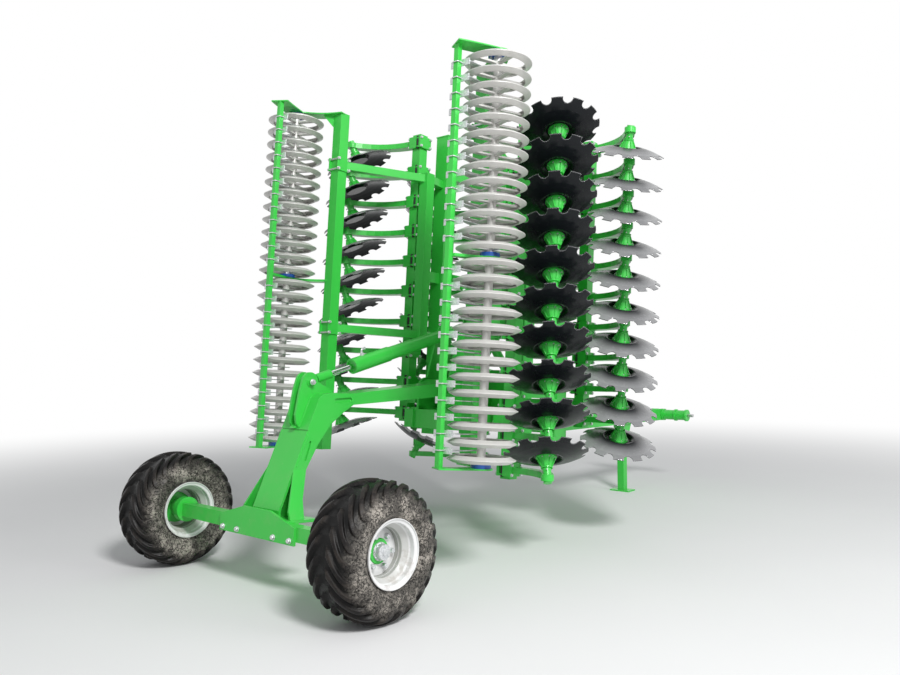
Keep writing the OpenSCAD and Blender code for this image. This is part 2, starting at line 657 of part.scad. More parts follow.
module disc_hubs(s) {
    color(green) stand() {
        at_discs(s, rear_row) disc_hub();
        at_discs(s, front_row) disc_hub();
    }
}
module disc_beams(s) {
    color(green) stand() on_side(s) for (row = [rear_row, front_row]) {
        lo = clamp_up(s, row, 0) - 80;
        hi = clamp_up(s, row, disc_count - 1) + 80;
        translate([row[0] + beam_x_ahead, beam_y, 0]) bar_z(lo, hi, beam_side, beam_side);
    }
}
// The spindle stands on the axis of the disc and crosses the arm's eye
boss_mid = arm_rise / (cos(cut_deg) * cos(lean_deg));
boss_from = seat_h + hub_h + seat_gap;
boss_end = boss_mid + 45;
boss_r = 33;
// The spindle's seam is turned away from the slanted edge where it leaves the arm
spindle_turn = 50;
eye_r = 50;
module disc_arm(s, row) {
    v = hub_dir(s, row);
    eye = [v[0], v[1]] * boss_mid;
    foot = [beam_x_ahead, beam_y + clamp_side / 2 - disc_y];
    up = s * row[1];
    translate([0, 0, up * arm_rise - arm_t / 2]) linear_extrude(arm_t) union() {
        polygon(strip(foot, [beam_x_ahead - 20, -110], eye, 110, 84, 7));
        translate(eye) circle(r = eye_r, $fn = 32);
    }
    aim(v) rotate([0, 0, spindle_turn]) translate([0, 0, boss_from])
        cylinder(h = boss_end - boss_from, r = boss_r, $fn = 32);
    // Saddle on the outer side of the beam
    translate([beam_x_ahead, beam_y - disc_y, up * arm_rise]) difference() {
        translate([-clamp_side / 2, -12, -clamp_len / 2]) cube([clamp_side, clamp_side / 2 + 13, clamp_len]);
        translate([-beam_side / 2 - seat_gap, -beam_side, -clamp_len])
            cube([beam_side + 2 * seat_gap, 1.5 * beam_side + seat_gap, 2 * clamp_len]);
    }
}
module at_arms(s, row) {
    for (k = [0:disc_count - 1]) on_side(s) translate([row[0], disc_y, disc_up(s, row, k)]) children();
}
module disc_arms(s) {
    color(green) stand() {
        at_arms(s, rear_row) disc_arm(s, rear_row);
        at_arms(s, front_row) disc_arm(s, front_row);
    }
}
module arm_clamp(s, row) {
    cap_t = 24;
    translate([beam_x_ahead, beam_y - disc_y, s * row[1] * arm_rise]) {
        translate([-clamp_side / 2, -beam_side / 2 - seat_gap - cap_t, -clamp_len / 2])
            cube([clamp_side, cap_t, clamp_len]);
        for (x = [-1, 1], z = [-1, 1]) translate([x * (clamp_side / 2 - 12), 0, z * (clamp_len / 2 - 14)])
            rod_y(-beam_side / 2 - seat_gap - cap_t - 12, -12, 9);
    }
}
module arm_clamps(s) {
    color(green) stand() {
        at_arms(s, rear_row) arm_clamp(s, rear_row);
        at_arms(s, front_row) arm_clamp(s, front_row);
    }
}

// Wing frame

main_lo = 623;
main_hi = 3510;
main_cap_t = 10;
cross_side = 120;
// Heights of the three cross tubes; the middle one carries the fold cylinder
cross_up = [1063, 2113, 3163];
outrigger_up = [963, 1663, 2213, 2963];
roller_arm_up = [1545, 3030];
// Place of the roller frame's inner tube, close to the beam of the rear row
roller_inner = [2000, 468];
// The rod's eye keeps clear of the cross tube behind it
wing_pin = [main_y - cross_side / 2 - tower_pin_r - eye_wall - side_gap, cross_up[1]];
wing_lug_r = 40;
fold_eye_w = 60;
// The free height between two clamps that lies nearest to a wanted height
function gap_up(s, row, up) = let(k = round((up - clamp_up(s, row, 0)) / disc_pitch - 0.5))
    clamp_up(s, row, 0) + (k + 0.5) * disc_pitch;
module wing_frame(s) {
    inner = main_y - main_side / 2;
    cyl_x = fold_cyl_x[side_index(s)];
    lug_root = main_y - cross_side / 2 + 1;
    color(green) stand() on_side(s) {
        for (x = fold_lug_x) {
            translate([x, main_y, 0]) bar_z(main_lo, main_hi, main_side, main_side);
            translate([x, main_y, main_hi]) bar_z(0, main_cap_t, main_side + 10, main_side + 10);
            for (e = [-1, 1]) translate([x + e * (main_side / 2 + 10), 0, 0]) wing_hinge();
        }
        for (up = cross_up) translate([0, main_y, up])
            bar_x(main_x0 + main_side / 2 - 1, main_x0 + main_gap - main_side / 2 + 1,
                cross_side, cross_side);
        for (k = [0, 2], up = [outrigger_up[k]]) translate([0, 0, gap_up(s, rear_row, up)]) difference() {
            translate([0, main_y + 15, 0])
                bar_x(rear_row[0] + beam_x_ahead - beam_side / 2, main_x0, outrigger, outrigger);
            // The upper one reaches round the roller frame's inner tube
            if (up > roller_arm_up[0]) translate([roller_inner[0], roller_inner[1], 0])
                bar_z(-outrigger, outrigger, roller_tube + 2 * seat_gap, roller_tube + 2 * seat_gap);
        }
        for (up = outrigger_up) translate([0, main_y + 15, gap_up(s, front_row, up)])
            bar_x(main_x0 + main_gap, front_row[0] + beam_x_ahead + beam_side / 2, outrigger, outrigger);
        // Lugs of the fold cylinder, with the outer ends of its pin
        for (e = [-1, 1]) translate([cyl_x + e * (fold_eye_w / 2 + 12), 0, 0]) {
            plate_yz(-10, 10) union() {
                translate(wing_pin) circle(r = wing_lug_r);
                polygon([
                    [wing_pin[0] - 8, wing_pin[1] + wing_lug_r], [lug_root, wing_pin[1] + 55],
                    [lug_root, wing_pin[1] - 55], [wing_pin[0] - 8, wing_pin[1] - wing_lug_r]]);
            }
            translate([e * 15, wing_pin[0], wing_pin[1]]) rod_x(-6, 6, tower_pin_r);
        }
        // Fold pins, which turn with the wing
        for (x = fold_lug_x, e = [-1, 1]) translate([x + e * (main_side / 2 + 10), fold_y, fold_up])
            rod_x(-fold_pin_reach(e), fold_pin_reach(-e), fold_pin_d / 2);
    }
}
// A fold pin starts just outside the wing's plate and ends just inside the centre frame's lug
function fold_pin_reach(e) = e > 0 ? 10 + 20 + fold_lug_t : 18;
module wing_hinge() {
    r = fold_pin_d / 2 + 20;
    plate_yz(-10, 10) union() {
        translate([fold_y, fold_up]) circle(r = r);
        polygon([
            [fold_y, fold_up - r], [main_y - main_side / 2 - 15, fold_up - r],
            [main_y - main_side / 2, main_lo],
            [main_y + main_side / 2, main_lo], [main_y + main_side / 2, fold_up + 180],
            [main_y - main_side / 2, fold_up + 180], [fold_y - 10, fold_up + r - 2]]);
    }
}

// Roller, its frame, bearings and scraper bar

scraper_x = 673;
scraper_y = 1029;
roller_outer = [1220, 842];
// Free height between the roller's end rings and the plates below and above them
end_gap = [64, 78];
end_plate = 10;
roller_hi = roller_up + (ring_count - 1) * ring_pitch;
end_lo = roller_up - end_gap[0];
end_hi = roller_hi + end_gap[1];
mid_up = roller_up + (floor(ring_count / 2) - 0.5) * ring_pitch;
bearing_h = 32;
bearing_r = 72;
hanger_t = 20;
arm_run = roller_inner - roller_outer;
shaft_run = [roller_x, roller_y] - roller_outer;
module roller_frame(s) {
    color(green) stand() on_side(s) {
        translate([roller_outer[0], roller_outer[1], 0])
            bar_z(end_lo - end_plate, end_hi + end_plate, roller_tube, roller_tube);
        translate([roller_inner[0], roller_inner[1], 0])
            bar_z(roller_arm_up[0] - roller_tube / 2, roller_arm_up[1] + roller_tube / 2,
                roller_tube, roller_tube);
        // End plates that close the roller, each with a gusset beside the tube
        for (e = [[end_lo, -1], [end_hi, 1]]) {
            translate([0, 0, e[0] + (e[1] - 1) / 2 * end_plate])
                linear_extrude(end_plate) end_plate_outline();
            translate([roller_outer[0], roller_outer[1], e[0]])
                rotate([0, 0, atan2(shaft_run[1], shaft_run[0])]) plate_xz(-5, 5)
                    polygon([[40, e[1]], [170, e[1]], [64, -e[1] * 120], [40, -e[1] * 120]]);
        }
        // Hanger of the middle bearing, from the tube to the scraper bar
        translate([0, 0, mid_up - hanger_t]) difference() {
            linear_extrude(hanger_t) hanger_outline();
            translate([roller_x, roller_y, -1]) cylinder(h = hanger_t + 2, r = shaft_d / 2 + side_gap);
        }
        // Arms between the two tubes, their clamps on the outer tube and their brackets to the wing
        for (up = roller_arm_up) {
            translate([roller_outer[0], roller_outer[1], up]) rotate([0, 0, atan2(arm_run[1], arm_run[0])])
                bar_x(30, norm(arm_run) - 30, roller_arm, roller_arm);
            for (y = [-1, 1]) translate([roller_outer[0], roller_outer[1] + y * (roller_tube / 2 + 5), up])
                bar_z(-60, 60, roller_tube + 40, 12);
            translate([0, 0, up]) linear_extrude(roller_arm, center = true) bracket_outline();
        }
    }
}
module bracket_outline() {
    from_x = roller_inner[0] + roller_tube / 2 - 1;
    to_x = main_x0 - main_side / 2;
    polygon([
        [from_x, roller_inner[1] - 38], [to_x, main_y - 35],
        [to_x, main_y + 35], [from_x, roller_inner[1] + 38]]);
}
module end_plate_outline() {
    union() {
        translate([roller_x, roller_y]) circle(r = bearing_r + 15);
        polygon(strip(roller_outer - [0, 50], roller_outer + [-60, 200], [roller_x, roller_y], 130, 160, 6));
        polygon(strip([scraper_x - 22, scraper_y - 10], [scraper_x + 100, scraper_y + 60],
            [roller_x, roller_y], 155, 165, 6));
    }
}
module hanger_outline() {
    front = scraper_x + bar_side / 2;
    union() {
        translate([roller_x, roller_y]) circle(r = 85);
        polygon(strip(roller_outer, roller_outer + [-30, 200], [roller_x, roller_y], 90, 120, 6));
        polygon([
            [front, scraper_y - bar_side / 2], [roller_x, roller_y - 70], [roller_x, roller_y + 60],
            [front, scraper_y + bar_side / 2 + 20]]);
    }
}
// A scraper is a flat plate on the bar's front face and a level blade that passes close by the shaft
shank_t = 8;
shank = [-79, 95];
blade_t = 6;
blade_w = 45;
blade_past = 30;
blade_y = roller_y - shaft_d / 2 - side_gap - blade_w;
module scraper_bar(s) {
    color(green) stand() on_side(s) translate([scraper_x, scraper_y, 0])
        bar_z(end_lo, end_hi, bar_side, bar_side);
}
module scrapers(s) {
    front = scraper_x + bar_side / 2;
    color(zinc) stand() on_side(s)
        for (k = [0:ring_count - 2]) if (k != floor(ring_count / 2) - 1)
            translate([front, 0, roller_up + (k + 0.5) * ring_pitch]) {
                translate([0, scraper_y + shank[0], -24]) cube([shank_t, shank[1] - shank[0], 48]);
                translate([shank_t - 1, blade_y, -blade_t / 2])
                    cube([roller_x + blade_past - front - shank_t + 1, blade_w, blade_t]);
            }
}
module roller_bearings(s) {
    color(blue) stand() on_side(s)
        for (up = [end_lo, end_hi - bearing_h, mid_up])
            translate([roller_x, roller_y, up]) difference() {
                cylinder(h = bearing_h, r = bearing_r);
                translate([0, 0, -1]) cylinder(h = bearing_h + 2, r = shaft_d / 2 + run_gap);
            }
}
// A spoke's thickness, and its width at the shaft and at the ring
spoke_t = 14;
spoke_w = [34, 52];
module roller_ring() {
    r = ring_d / 2;
    rotate_extrude($fn = 48) polygon([
        [r, -2], [r, 2], [r - 46, ring_w / 2], [r - 50, ring_w / 2 - 8], [r - 16, 0],
        [r - 50, 8 - ring_w / 2], [r - 46, -ring_w / 2]]);
    for (a = [0:90:270]) rotate([0, 0, a + 20]) linear_extrude(spoke_t, center = true) polygon([
        [0, -spoke_w[0] / 2], [r - 30, -spoke_w[1] / 2], [r - 30, spoke_w[1] / 2], [0, spoke_w[0] / 2]]);
}
// The shaft ends this far from the end plates
shaft_play = 5;
module roller(s) {
    color(grey) stand() on_side(s) translate([roller_x, roller_y, 0]) {
        translate([0, 0, end_lo + shaft_play])
            cylinder(h = end_hi - end_lo - 2 * shaft_play, r = shaft_d / 2);
        for (k = [0:ring_count - 1]) translate([0, 0, roller_up + k * ring_pitch]) roller_ring();
    }
}

// Cylinders

// A barrel from its pin at the origin along +X, thicker over its last stretch, with a recess round the rod
module barrel(pin_r, eye_w, r, len, thick_len, bore_r) {
    difference() {
        union() {
            rod_y(-eye_w / 2, eye_w / 2, pin_r + eye_wall);
            rod_x(pin_r + 10, len - thick_len + 1, r);
            rod_x(len - thick_len, len, r + 6);
        }
        rod_y(-eye_w, eye_w, pin_r + run_gap);
        rod_x(pin_r + 40, len + 1, bore_r + 0.3);
        rod_x(len - 14, len + 1, r - 6);
    }
}
// A rod that ends in an eye at the given length, with a thicker socket between two distances from the eye
module rod(pin_r, eye_w, r, len, tail, socket_r, socket) {
    union() {
        rod_x(tail, len - pin_r - 10, r);
        translate([len, 0, 0]) rod_y(-eye_w / 2, eye_w / 2, pin_r + eye_wall);
        rod_x(len - socket[0], len - socket[1], socket_r);
    }
}
lift_barrel_eye_w = 90;
lift_len = norm([lift_pin_x - lug_x, lift_pin_up - lug_up]);
lift_dip = atan2(lift_pin_up - lug_up, lift_pin_x - lug_x);
// Where the socket of the lift rod's eye begins and ends, measured back from the eye
lift_socket = [232, 90];
// The bare rod between that socket and the barrel, and the barrel's length in whole millimetres
lift_bare = 230;
// Length of the barrel's thicker stretch
lift_thick = 410;
lift_barrel_len = floor(lift_len - lift_socket[0] - lift_bare);
module at_lift() {
    stand() translate([lift_pin_x, 0, lift_pin_up]) rotate([0, 180 - lift_dip, 0]) children();
}
module lift_barrel() {
    color(green) at_lift() {
        barrel(tower_pin_r, lift_barrel_eye_w, 55, lift_barrel_len, lift_thick, 22);
        rod_y(-mast_in + 2, mast_in - 2, tower_pin_r + 14);
        rod_y(-mast_in - mast_plate - 14, mast_in + mast_plate + 14, tower_pin_r);
    }
}
module lift_rod() {
    color(zinc) at_lift() rod(lug_pin_r, lug_eye_w, 22, lift_len, 370, 35, lift_socket);
}
fold_len = norm([wing_pin[0] + tower_y, wing_pin[1] - tower_up]);
fold_rise = atan2(wing_pin[1] - tower_up, wing_pin[0] + tower_y);
fold_socket = [tower_pin_r + 90, tower_pin_r + 5];
fold_bare = 37;
fold_thick = 400;
fold_barrel_len = floor(fold_len - fold_socket[0] - fold_bare);
module at_fold(s) {
    stand() on_side(s) translate([fold_cyl_x[side_index(s)], -tower_y, tower_up])
        rotate([fold_rise, 0, 0]) rotate([0, 0, 90]) children();
}
module fold_barrel(s) {
    color(green) at_fold(s) barrel(tower_pin_r, 70, 42, fold_barrel_len, fold_thick, 20);
}
module fold_rod(s) {
    color(zinc) at_fold(s)
        rod(tower_pin_r, fold_eye_w, 20, fold_len, 75, fold_eye_w / 2 - 3, fold_socket);
}

centre_frame();
mast();
drawbar();
hitch_shaft();
parking_leg();
lift_arm();
axle_shoe();
axle_beam();
tyre(-1);  // tyre_right
rim(-1);  // rim_right
wheel_hub(-1);  // wheel_hub_right
tyre(1);  // tyre_left
rim(1);  // rim_left
wheel_hub(1);  // wheel_hub_left
wing_frame(-1);  // wing_frame_right
disc_beams(-1);  // disc_beams_right
disc_arms(-1);  // disc_arms_right
arm_clamps(-1);  // arm_clamps_right
disc_hubs(-1);  // disc_hubs_right
disc_row(-1, rear_row);  // rear_discs_right
disc_row(-1, front_row);  // front_discs_right
wing_frame(1);  // wing_frame_left
disc_beams(1);  // disc_beams_left
disc_arms(1);  // disc_arms_left
arm_clamps(1);  // arm_clamps_left
disc_hubs(1);  // disc_hubs_left
disc_row(1, rear_row);  // rear_discs_left
disc_row(1, front_row);  // front_discs_left
roller_frame(-1);  // roller_frame_right
scraper_bar(-1);  // scraper_bar_right
scrapers(-1);  // scrapers_right
roller_bearings(-1);  // roller_bearings_right
roller(-1);  // roller_right
roller_frame(1);  // roller_frame_left
scraper_bar(1);  // scraper_bar_left
scrapers(1);  // scrapers_left
roller_bearings(1);  // roller_bearings_left
roller(1);  // roller_left
lift_barrel();
lift_rod();
fold_barrel(-1);  // fold_barrel_right
fold_rod(-1);  // fold_rod_right
fold_barrel(1);  // fold_barrel_left
fold_rod(1);  // fold_rod_left
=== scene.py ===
# %% [markdown]
# # A folding disc harrow, dressed for its picture
# The frame is the packed CAD model: every node is already in metres, standing on the ground.
# This notebook adds what CAD leaves out: paint, cast iron, galvanised steel, mud on the tyres, bolts,
# ribs and rubber cushions. Each step first says what the real piece is and why it is made this way.

# %% Load the frame
import math

import bpy
import numpy as np
from mathutils import Matrix, Vector


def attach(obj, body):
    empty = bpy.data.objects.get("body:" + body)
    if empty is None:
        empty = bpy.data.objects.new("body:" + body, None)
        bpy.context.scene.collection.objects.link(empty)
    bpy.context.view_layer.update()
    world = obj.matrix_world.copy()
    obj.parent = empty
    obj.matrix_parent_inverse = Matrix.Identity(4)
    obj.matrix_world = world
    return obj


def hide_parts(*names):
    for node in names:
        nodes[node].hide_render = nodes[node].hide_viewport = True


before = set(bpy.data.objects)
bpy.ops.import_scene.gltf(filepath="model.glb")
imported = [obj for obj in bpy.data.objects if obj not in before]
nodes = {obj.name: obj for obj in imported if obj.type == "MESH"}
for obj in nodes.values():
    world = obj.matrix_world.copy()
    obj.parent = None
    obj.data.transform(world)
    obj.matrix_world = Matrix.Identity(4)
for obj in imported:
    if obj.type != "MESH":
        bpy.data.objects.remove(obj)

scene = bpy.context.scene
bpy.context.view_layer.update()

# %% [markdown]
# ## One set of machine coordinates
# The harrow leans five degrees nose-down on its parking leg, so its tubes aren't square to the ground.
# It is easier to place bolts and ribs in the machine's own frame: millimetres, the origin in the middle of
# the transport axle, x towards the hitch, y to the left, u up. One function then stands the points on the
# ground. The alternative, turning each object, would leave its place outside its mesh.

# %% Stand machine points on the ground
LEAN = math.radians(5.0)
WHEEL_R = 437.0
MID_X = 2744.815
SIDES = {"right": -1, "left": 1}


def turn(v):
    """A machine direction over the ground: x' = x cos + u sin, z' = u cos - x sin."""
    v = np.asarray(v, float)
    x, y, u = v[..., 0], v[..., 1], v[..., 2]
    return np.stack([x * math.cos(LEAN) + u * math.sin(LEAN), y, u * math.cos(LEAN) - x * math.sin(LEAN)], -1)


def stand(p):
    """Machine millimetres to metres over the ground: turn, move back by the middle, up by the wheel."""
    return (turn(p) + np.array([-MID_X, 0.0, WHEEL_R])) / 1000.0


def unit(v):
    """The same direction with length 1: divided by the root of the sum of its squares."""
    return v / np.linalg.norm(v)


AXLE = stand([0, 0, 0])
print("axle at", AXLE.round(3), "hitch at", stand([5800, 0, 903]).round(3))

# %% [markdown]
# ## The camera
# The view is from behind and to the right, at eye height, with a lens a little wider than normal. A camera
# is a place, a view direction and a focal length, and its matrix has the right, up and backward directions
# as columns.

# %% Put the camera behind and to the right
forward = Vector((0.7527, 0.6583, 0.0116)).normalized()
up = Vector((-0.0015, -0.0159, 0.9999))
side = forward.cross(up).normalized()
up = side.cross(forward)
eye = Vector((-6.308, -4.887, 1.684))
lens = bpy.data.cameras.new("camera")
lens.lens, lens.sensor_width, lens.clip_end = 33.32, 36.0, 200.0
camera = bpy.data.objects.new("camera", lens)
turned = Matrix((side, up, -forward)).transposed().to_4x4()
camera.matrix_world = Matrix.Translation(eye) @ turned
scene.collection.objects.link(camera)
scene.camera = camera
print("camera", tuple(round(v, 3) for v in eye), "lens", lens.lens)

# %% [markdown]
# ## Shader sums as plain Python
# A material is a graph of nodes, and a long graph is hard to read. A small class wraps one socket, so that
# `1 - mask * 0.5` adds the Math nodes by itself. Colours would turn grey in a Math node, so they go through
# a Mix node instead.

# %% A value in a graph, with Python's arithmetic


class Value:
    """One output socket. Each operator adds one Math node of that name and gives its result."""

    def __init__(self, graph, socket):
        self.graph, self.socket = graph, socket

    def math(self, operation, *values):
        """One Math node of that operation on the values."""
        return self.graph.node("ShaderNodeMath", values, operation=operation)[0]

    def __add__(self, other):
        return self.math("ADD", self, other)

    def __radd__(self, other):
        return self.math("ADD", other, self)

    def __sub__(self, other):
        return self.math("SUBTRACT", self, other)

    def __rsub__(self, other):
        return self.math("SUBTRACT", other, self)

    def __mul__(self, other):
        return self.math("MULTIPLY", self, other)

    def __rmul__(self, other):
        return self.math("MULTIPLY", other, self)

    def __truediv__(self, other):
        return self.math("DIVIDE", self, other)

    def __pow__(self, other):
        return self.math("POWER", self, other)

    def floor(self):
        return self.math("FLOOR", self)

    def sine(self):
        return self.math("SINE", self)

    def most(self, other):
        return self.math("MAXIMUM", self, other)

    def least(self, other):
        return self.math("MINIMUM", self, other)

    def step(self, low, high):
        """0 below low, 1 above high, and a smooth rise between them."""
        values = {"Value": self, "From Min": low, "From Max": high}
        return self.graph.node("ShaderNodeMapRange", values, interpolation_type="SMOOTHSTEP")[0]


class Outputs:
    """The outputs of one node, by number or by name."""

    def __init__(self, graph, made_node):
        self.graph, self.made_node = graph, made_node

    def __getitem__(self, key):
        return Value(self.graph, self.made_node.outputs[key])


print("a value also knows", [name for name in vars(Value) if not name.startswith("_")])

# %% [markdown]
# ## One way to add a node
# Every node, in a material or in the world, comes from one method: it takes the node's type, makes its
# settings and feeds its inputs. A paint is such a graph with the material that it belongs to, and with short
# names for what this machine's finishes share: clouds of noise, a mix of two colours, a bump and the final
# shader. A Mix node has the sockets of all its kinds, so those for colours go by number.

# %% Graphs and paints
MIX_FACTOR, MIX_A, MIX_B, MIX_COLOR = 0, 6, 7, 2


def rgba(color):
    """A colour with its alpha of 1; a value from the graph stays as it is."""
    return color if isinstance(color, Value) else (*color, 1.0)


class Graph:
    """The nodes of one tree, empty at first."""

    def __init__(self, tree):
        self.tree = tree
        tree.nodes.clear()

    def node(self, kind, values=(), **settings):
        """Adds a node, makes its settings, then feeds its inputs by name or number. Gives its outputs."""
        added = self.tree.nodes.new(kind)
        for key, value in settings.items():
            setattr(added, key, value)
        pairs = values.items() if isinstance(values, dict) else enumerate(values)
        for key, value in pairs:
            self.feed(added.inputs[key], value)
        return Outputs(self, added)

    def feed(self, socket, value):
        """Links a value of the graph to the socket, or sets a plain one on it."""
        if isinstance(value, Value):
            self.tree.links.new(value.socket, socket)
        else:
            socket.default_value = value


class Paint(Graph):
    """One material under way. `point` is the place on the part, in metres, from the Object coordinates."""

    def __init__(self, name):
        self.material = bpy.data.materials.new(name)
        self.material.use_nodes = True
        super().__init__(self.material.node_tree)
        self.point = self.node("ShaderNodeTexCoord")["Object"]

    def mix(self, mask, low, high):
        """The colour low where the mask is 0 and high where it is 1."""
        values = {MIX_FACTOR: mask, MIX_A: rgba(low), MIX_B: rgba(high)}
        return self.node("ShaderNodeMix", values, data_type="RGBA")[MIX_COLOR]

    def noise(self, scale, detail=4.0, rough=0.5):
        """Cloudy noise, near 0.5 on average; scale is in waves a metre."""
        values = {"Vector": self.point, "Scale": scale, "Detail": detail, "Roughness": rough}
        return self.node("ShaderNodeTexNoise", values)[0]

    def split(self, vector=None):
        """The three parts of a vector, or of the point itself."""
        got = self.node("ShaderNodeSeparateXYZ", [vector or self.point])
        return got[0], got[1], got[2]

    def flat_normal(self):
        """The direction that the surface faces, without any rounding."""
        return self.node("ShaderNodeNewGeometry")["Normal"]

    def upward(self):
        """The upward part of that direction: 1 on what faces up, 0 on a wall and -1 underneath."""
        return self.split(self.flat_normal())[2]

    def bump(self, height, distance, strength, normal=None):
        """The normal of a surface that the height raises by up to the distance, in metres."""
        values = {"Height": height, "Distance": distance, "Strength": strength}
        if normal is not None:
            values["Normal"] = normal
        return self.node("ShaderNodeBump", values)[0]

    def finish(self, color, roughness, metallic=0.0, normal=None, **fixed):
        """The Principled shader: what varies is linked, and every fixed value is set on its own socket."""
        values = {"Base Color": rgba(color), "Roughness": roughness, "Metallic": metallic}
        if normal is not None:
            values["Normal"] = normal
        values.update({key.replace("_", " "): value for key, value in fixed.items()})
        shader = self.node("ShaderNodeBsdfPrincipled", values)
        self.node("ShaderNodeOutputMaterial", {"Surface": shader[0]})
        print(self.material.name, "nodes", len(self.tree.nodes))
        return self.material


print("grey for a socket", rgba((0.5, 0.5, 0.5)))

# %% [markdown]
# ## Rounded edges and painted edge highlights
# Welded plates have sharp CAD edges, but real ones catch a thin line of light because paint draws back from
# an edge and the steel under it is broken a little. A Bevel node gives the normal of a rounded edge without
# changing the mesh. Where that normal differs from the flat one there is an edge, which makes a mask too.
# The paints lighten their colour along this mask as a painted highlight, on the cast rings also as worn
# paint, and on the discs it marks bare steel.

# %% An edge mask from the Bevel node
BEVEL_SAMPLES = 4
EDGE_FROM, EDGE_TO = 0.01, 0.25


def soft_normal(paint, radius):
    """The normal as if every edge were rounded to that radius, in metres."""
    return paint.node("ShaderNodeBevel", {"Radius": radius}, samples=BEVEL_SAMPLES)[0]


def edges(paint, radius):
    """The rounded normal, and 1 minus the cosine between it and the flat normal, as a mask of edges."""
    rounded = soft_normal(paint, radius)
    pair = [rounded, paint.flat_normal()]
    cosine = paint.node("ShaderNodeVectorMath", pair, operation="DOT_PRODUCT")["Value"]
    return rounded, (1 - cosine).step(EDGE_FROM, EDGE_TO)


print("a full edge at", round(math.degrees(math.acos(1 - EDGE_TO))), "degrees")

# %% [markdown]
# ## Green gloss paint
# The frames are sprayed in one coat of bright green enamel. Up close it has orange peel, a faint change of
# shade from panel to panel, dust on what faces up, and dried splashes low down. A painted highlight makes the
# edges a little lighter. A painted image would need an unwrapped mesh, so each of these is a noise over the
# place.

# %% Mix the green enamel
GREEN = (0.040, 0.58, 0.062)
BLUE = (0.012, 0.09, 0.42)
DUST = (0.42, 0.37, 0.29)


def enamel(name, color, edge_highlight=0.5):
    """Shade by broad noise, a painted highlight on the edges, dust by the upward normal, splashes, peel as
    bump.
    """
    paint = Paint(name)
    rounded, rim = edges(paint, 0.003)
    shade = paint.noise(0.9, 2.0)
    spots = paint.noise(38.0, 8.0, 0.7).step(0.60, 0.74)
    low = 1 - paint.split()[2].step(0.25, 1.3)
    facing = paint.upward().step(0.6, 0.95)
    film = paint.noise(7.0, 6.0, 0.6).step(0.42, 0.75) * (facing * 0.14 + low * 0.12)
    light = tuple(min(1.0, c * 1.12 + 0.008) for c in color)
    dark = tuple(c * 0.86 for c in color)
    # A lighter copy of the colour, painted along the edges as a highlight
    edge = tuple(min(1.0, c * 1.25 + 0.10) for c in color)
    tint = paint.mix(shade, dark, light)
    tint = paint.mix(rim * edge_highlight, tint, edge)
    tint = paint.mix((film + spots * low * 0.35).least(0.8), tint, DUST)
    normal = paint.bump(paint.noise(420.0, 2.0), 0.0004, 0.25, rounded)
    rough = 0.30 + film * 0.9 + paint.noise(24.0, 3.0) * 0.10
    return paint.finish(tint, rough, normal=normal, Coat_Weight=0.20, Coat_Roughness=0.12, IOR=1.45)


green = enamel("green_enamel", GREEN)
blue = enamel("blue_enamel", BLUE, edge_highlight=0.3)

# %% [markdown]
# ## Cast rings, painted rims and zinc
# Three pale metals must not look alike. The cast rings carry a thin light grey paint over a sandy skin. The
# rims are smoother and whiter, with painted shade in the folds of the well, which are found by their distance
# from the axle. Scrapers and bolts are galvanised, with crystals that differ in brightness.

# %% Mix the pale metals
PALE_MUD = (0.34, 0.29, 0.24)


def from_axle(paint):
    """The distance from the axle's line, in metres: the root of x squared plus z squared."""
    x, _, z = paint.split()
    ahead, above = x - AXLE[0], z - AXLE[2]
    return (ahead * ahead + above * above) ** 0.5


def cast_grey():
    """Two greys by noise, worn edges with a painted highlight, brown stains by sharp noise, sand as bump."""
    paint = Paint("cast_grey")
    rounded, rim = edges(paint, 0.0025)
    patches = paint.noise(5.0, 5.0, 0.6)
    stain = paint.noise(16.0, 7.0, 0.68).step(0.60, 0.78)
    tint = paint.mix(patches, (0.58, 0.57, 0.54), (0.76, 0.75, 0.73))
    # Pale edges: worn paint, and a painted highlight along them
    tint = paint.mix(rim * 0.6, tint, (0.90, 0.90, 0.89))
    tint = paint.mix(stain * 0.30, tint, (0.36, 0.30, 0.24))
    sand = paint.noise(260.0, 4.0, 0.6)
    return paint.finish(tint, 0.38 + stain * 0.3, 0.20, paint.bump(sand, 0.0006, 0.4, rounded))


def rim_white():
    """White, with painted shade in two folds of the well, by the distance from the axle, and mud low down."""
    paint = Paint("rim_white")
    low = 1 - paint.split()[2].step(0.2, 0.62)
    mud = (paint.noise(11.0, 8.0, 0.65) + low * 0.16).step(0.60, 0.74)
    far = from_axle(paint)
    well = far.step(0.1535, 0.1545)
    # Painted shade: two folds of the well are darkened, found by their distance from the axle
    slope_painted_shade = well * (1 - far.step(0.178, 0.184))
    wall_painted_shade = far.step(0.1475, 0.1485) * (1 - well)
    tint = paint.mix(paint.noise(3.0, 2.0), (0.76, 0.76, 0.76), (0.84, 0.84, 0.84))
    tint = paint.mix(slope_painted_shade * 0.55, tint, (0.42, 0.42, 0.39))
    tint = paint.mix(wall_painted_shade * 0.8, tint, (0.26, 0.27, 0.24))
    tint = paint.mix(mud * 0.40, tint, PALE_MUD)
    fine = paint.bump(paint.noise(300.0, 2.0), 0.0003, 0.2, soft_normal(paint, 0.002))
    return paint.finish(tint, 0.33 + mud * 0.4, 0.0, fine, Coat_Weight=0.15)


def galvanised():
    """Each crystal is one cell, and one number of its random colour sets its brightness and roughness."""
    paint = Paint("galvanised")
    cells = paint.node("ShaderNodeTexVoronoi", {"Vector": paint.point, "Scale": 160.0})["Color"]
    flake = paint.split(cells)[0]
    tint = paint.mix(flake, (0.52, 0.54, 0.56), (0.78, 0.79, 0.80))
    return paint.finish(tint, 0.36 + flake * 0.16, 0.75, soft_normal(paint, 0.0015))


cast = cast_grey()
rim_paint = rim_white()
zinc = galvanised()

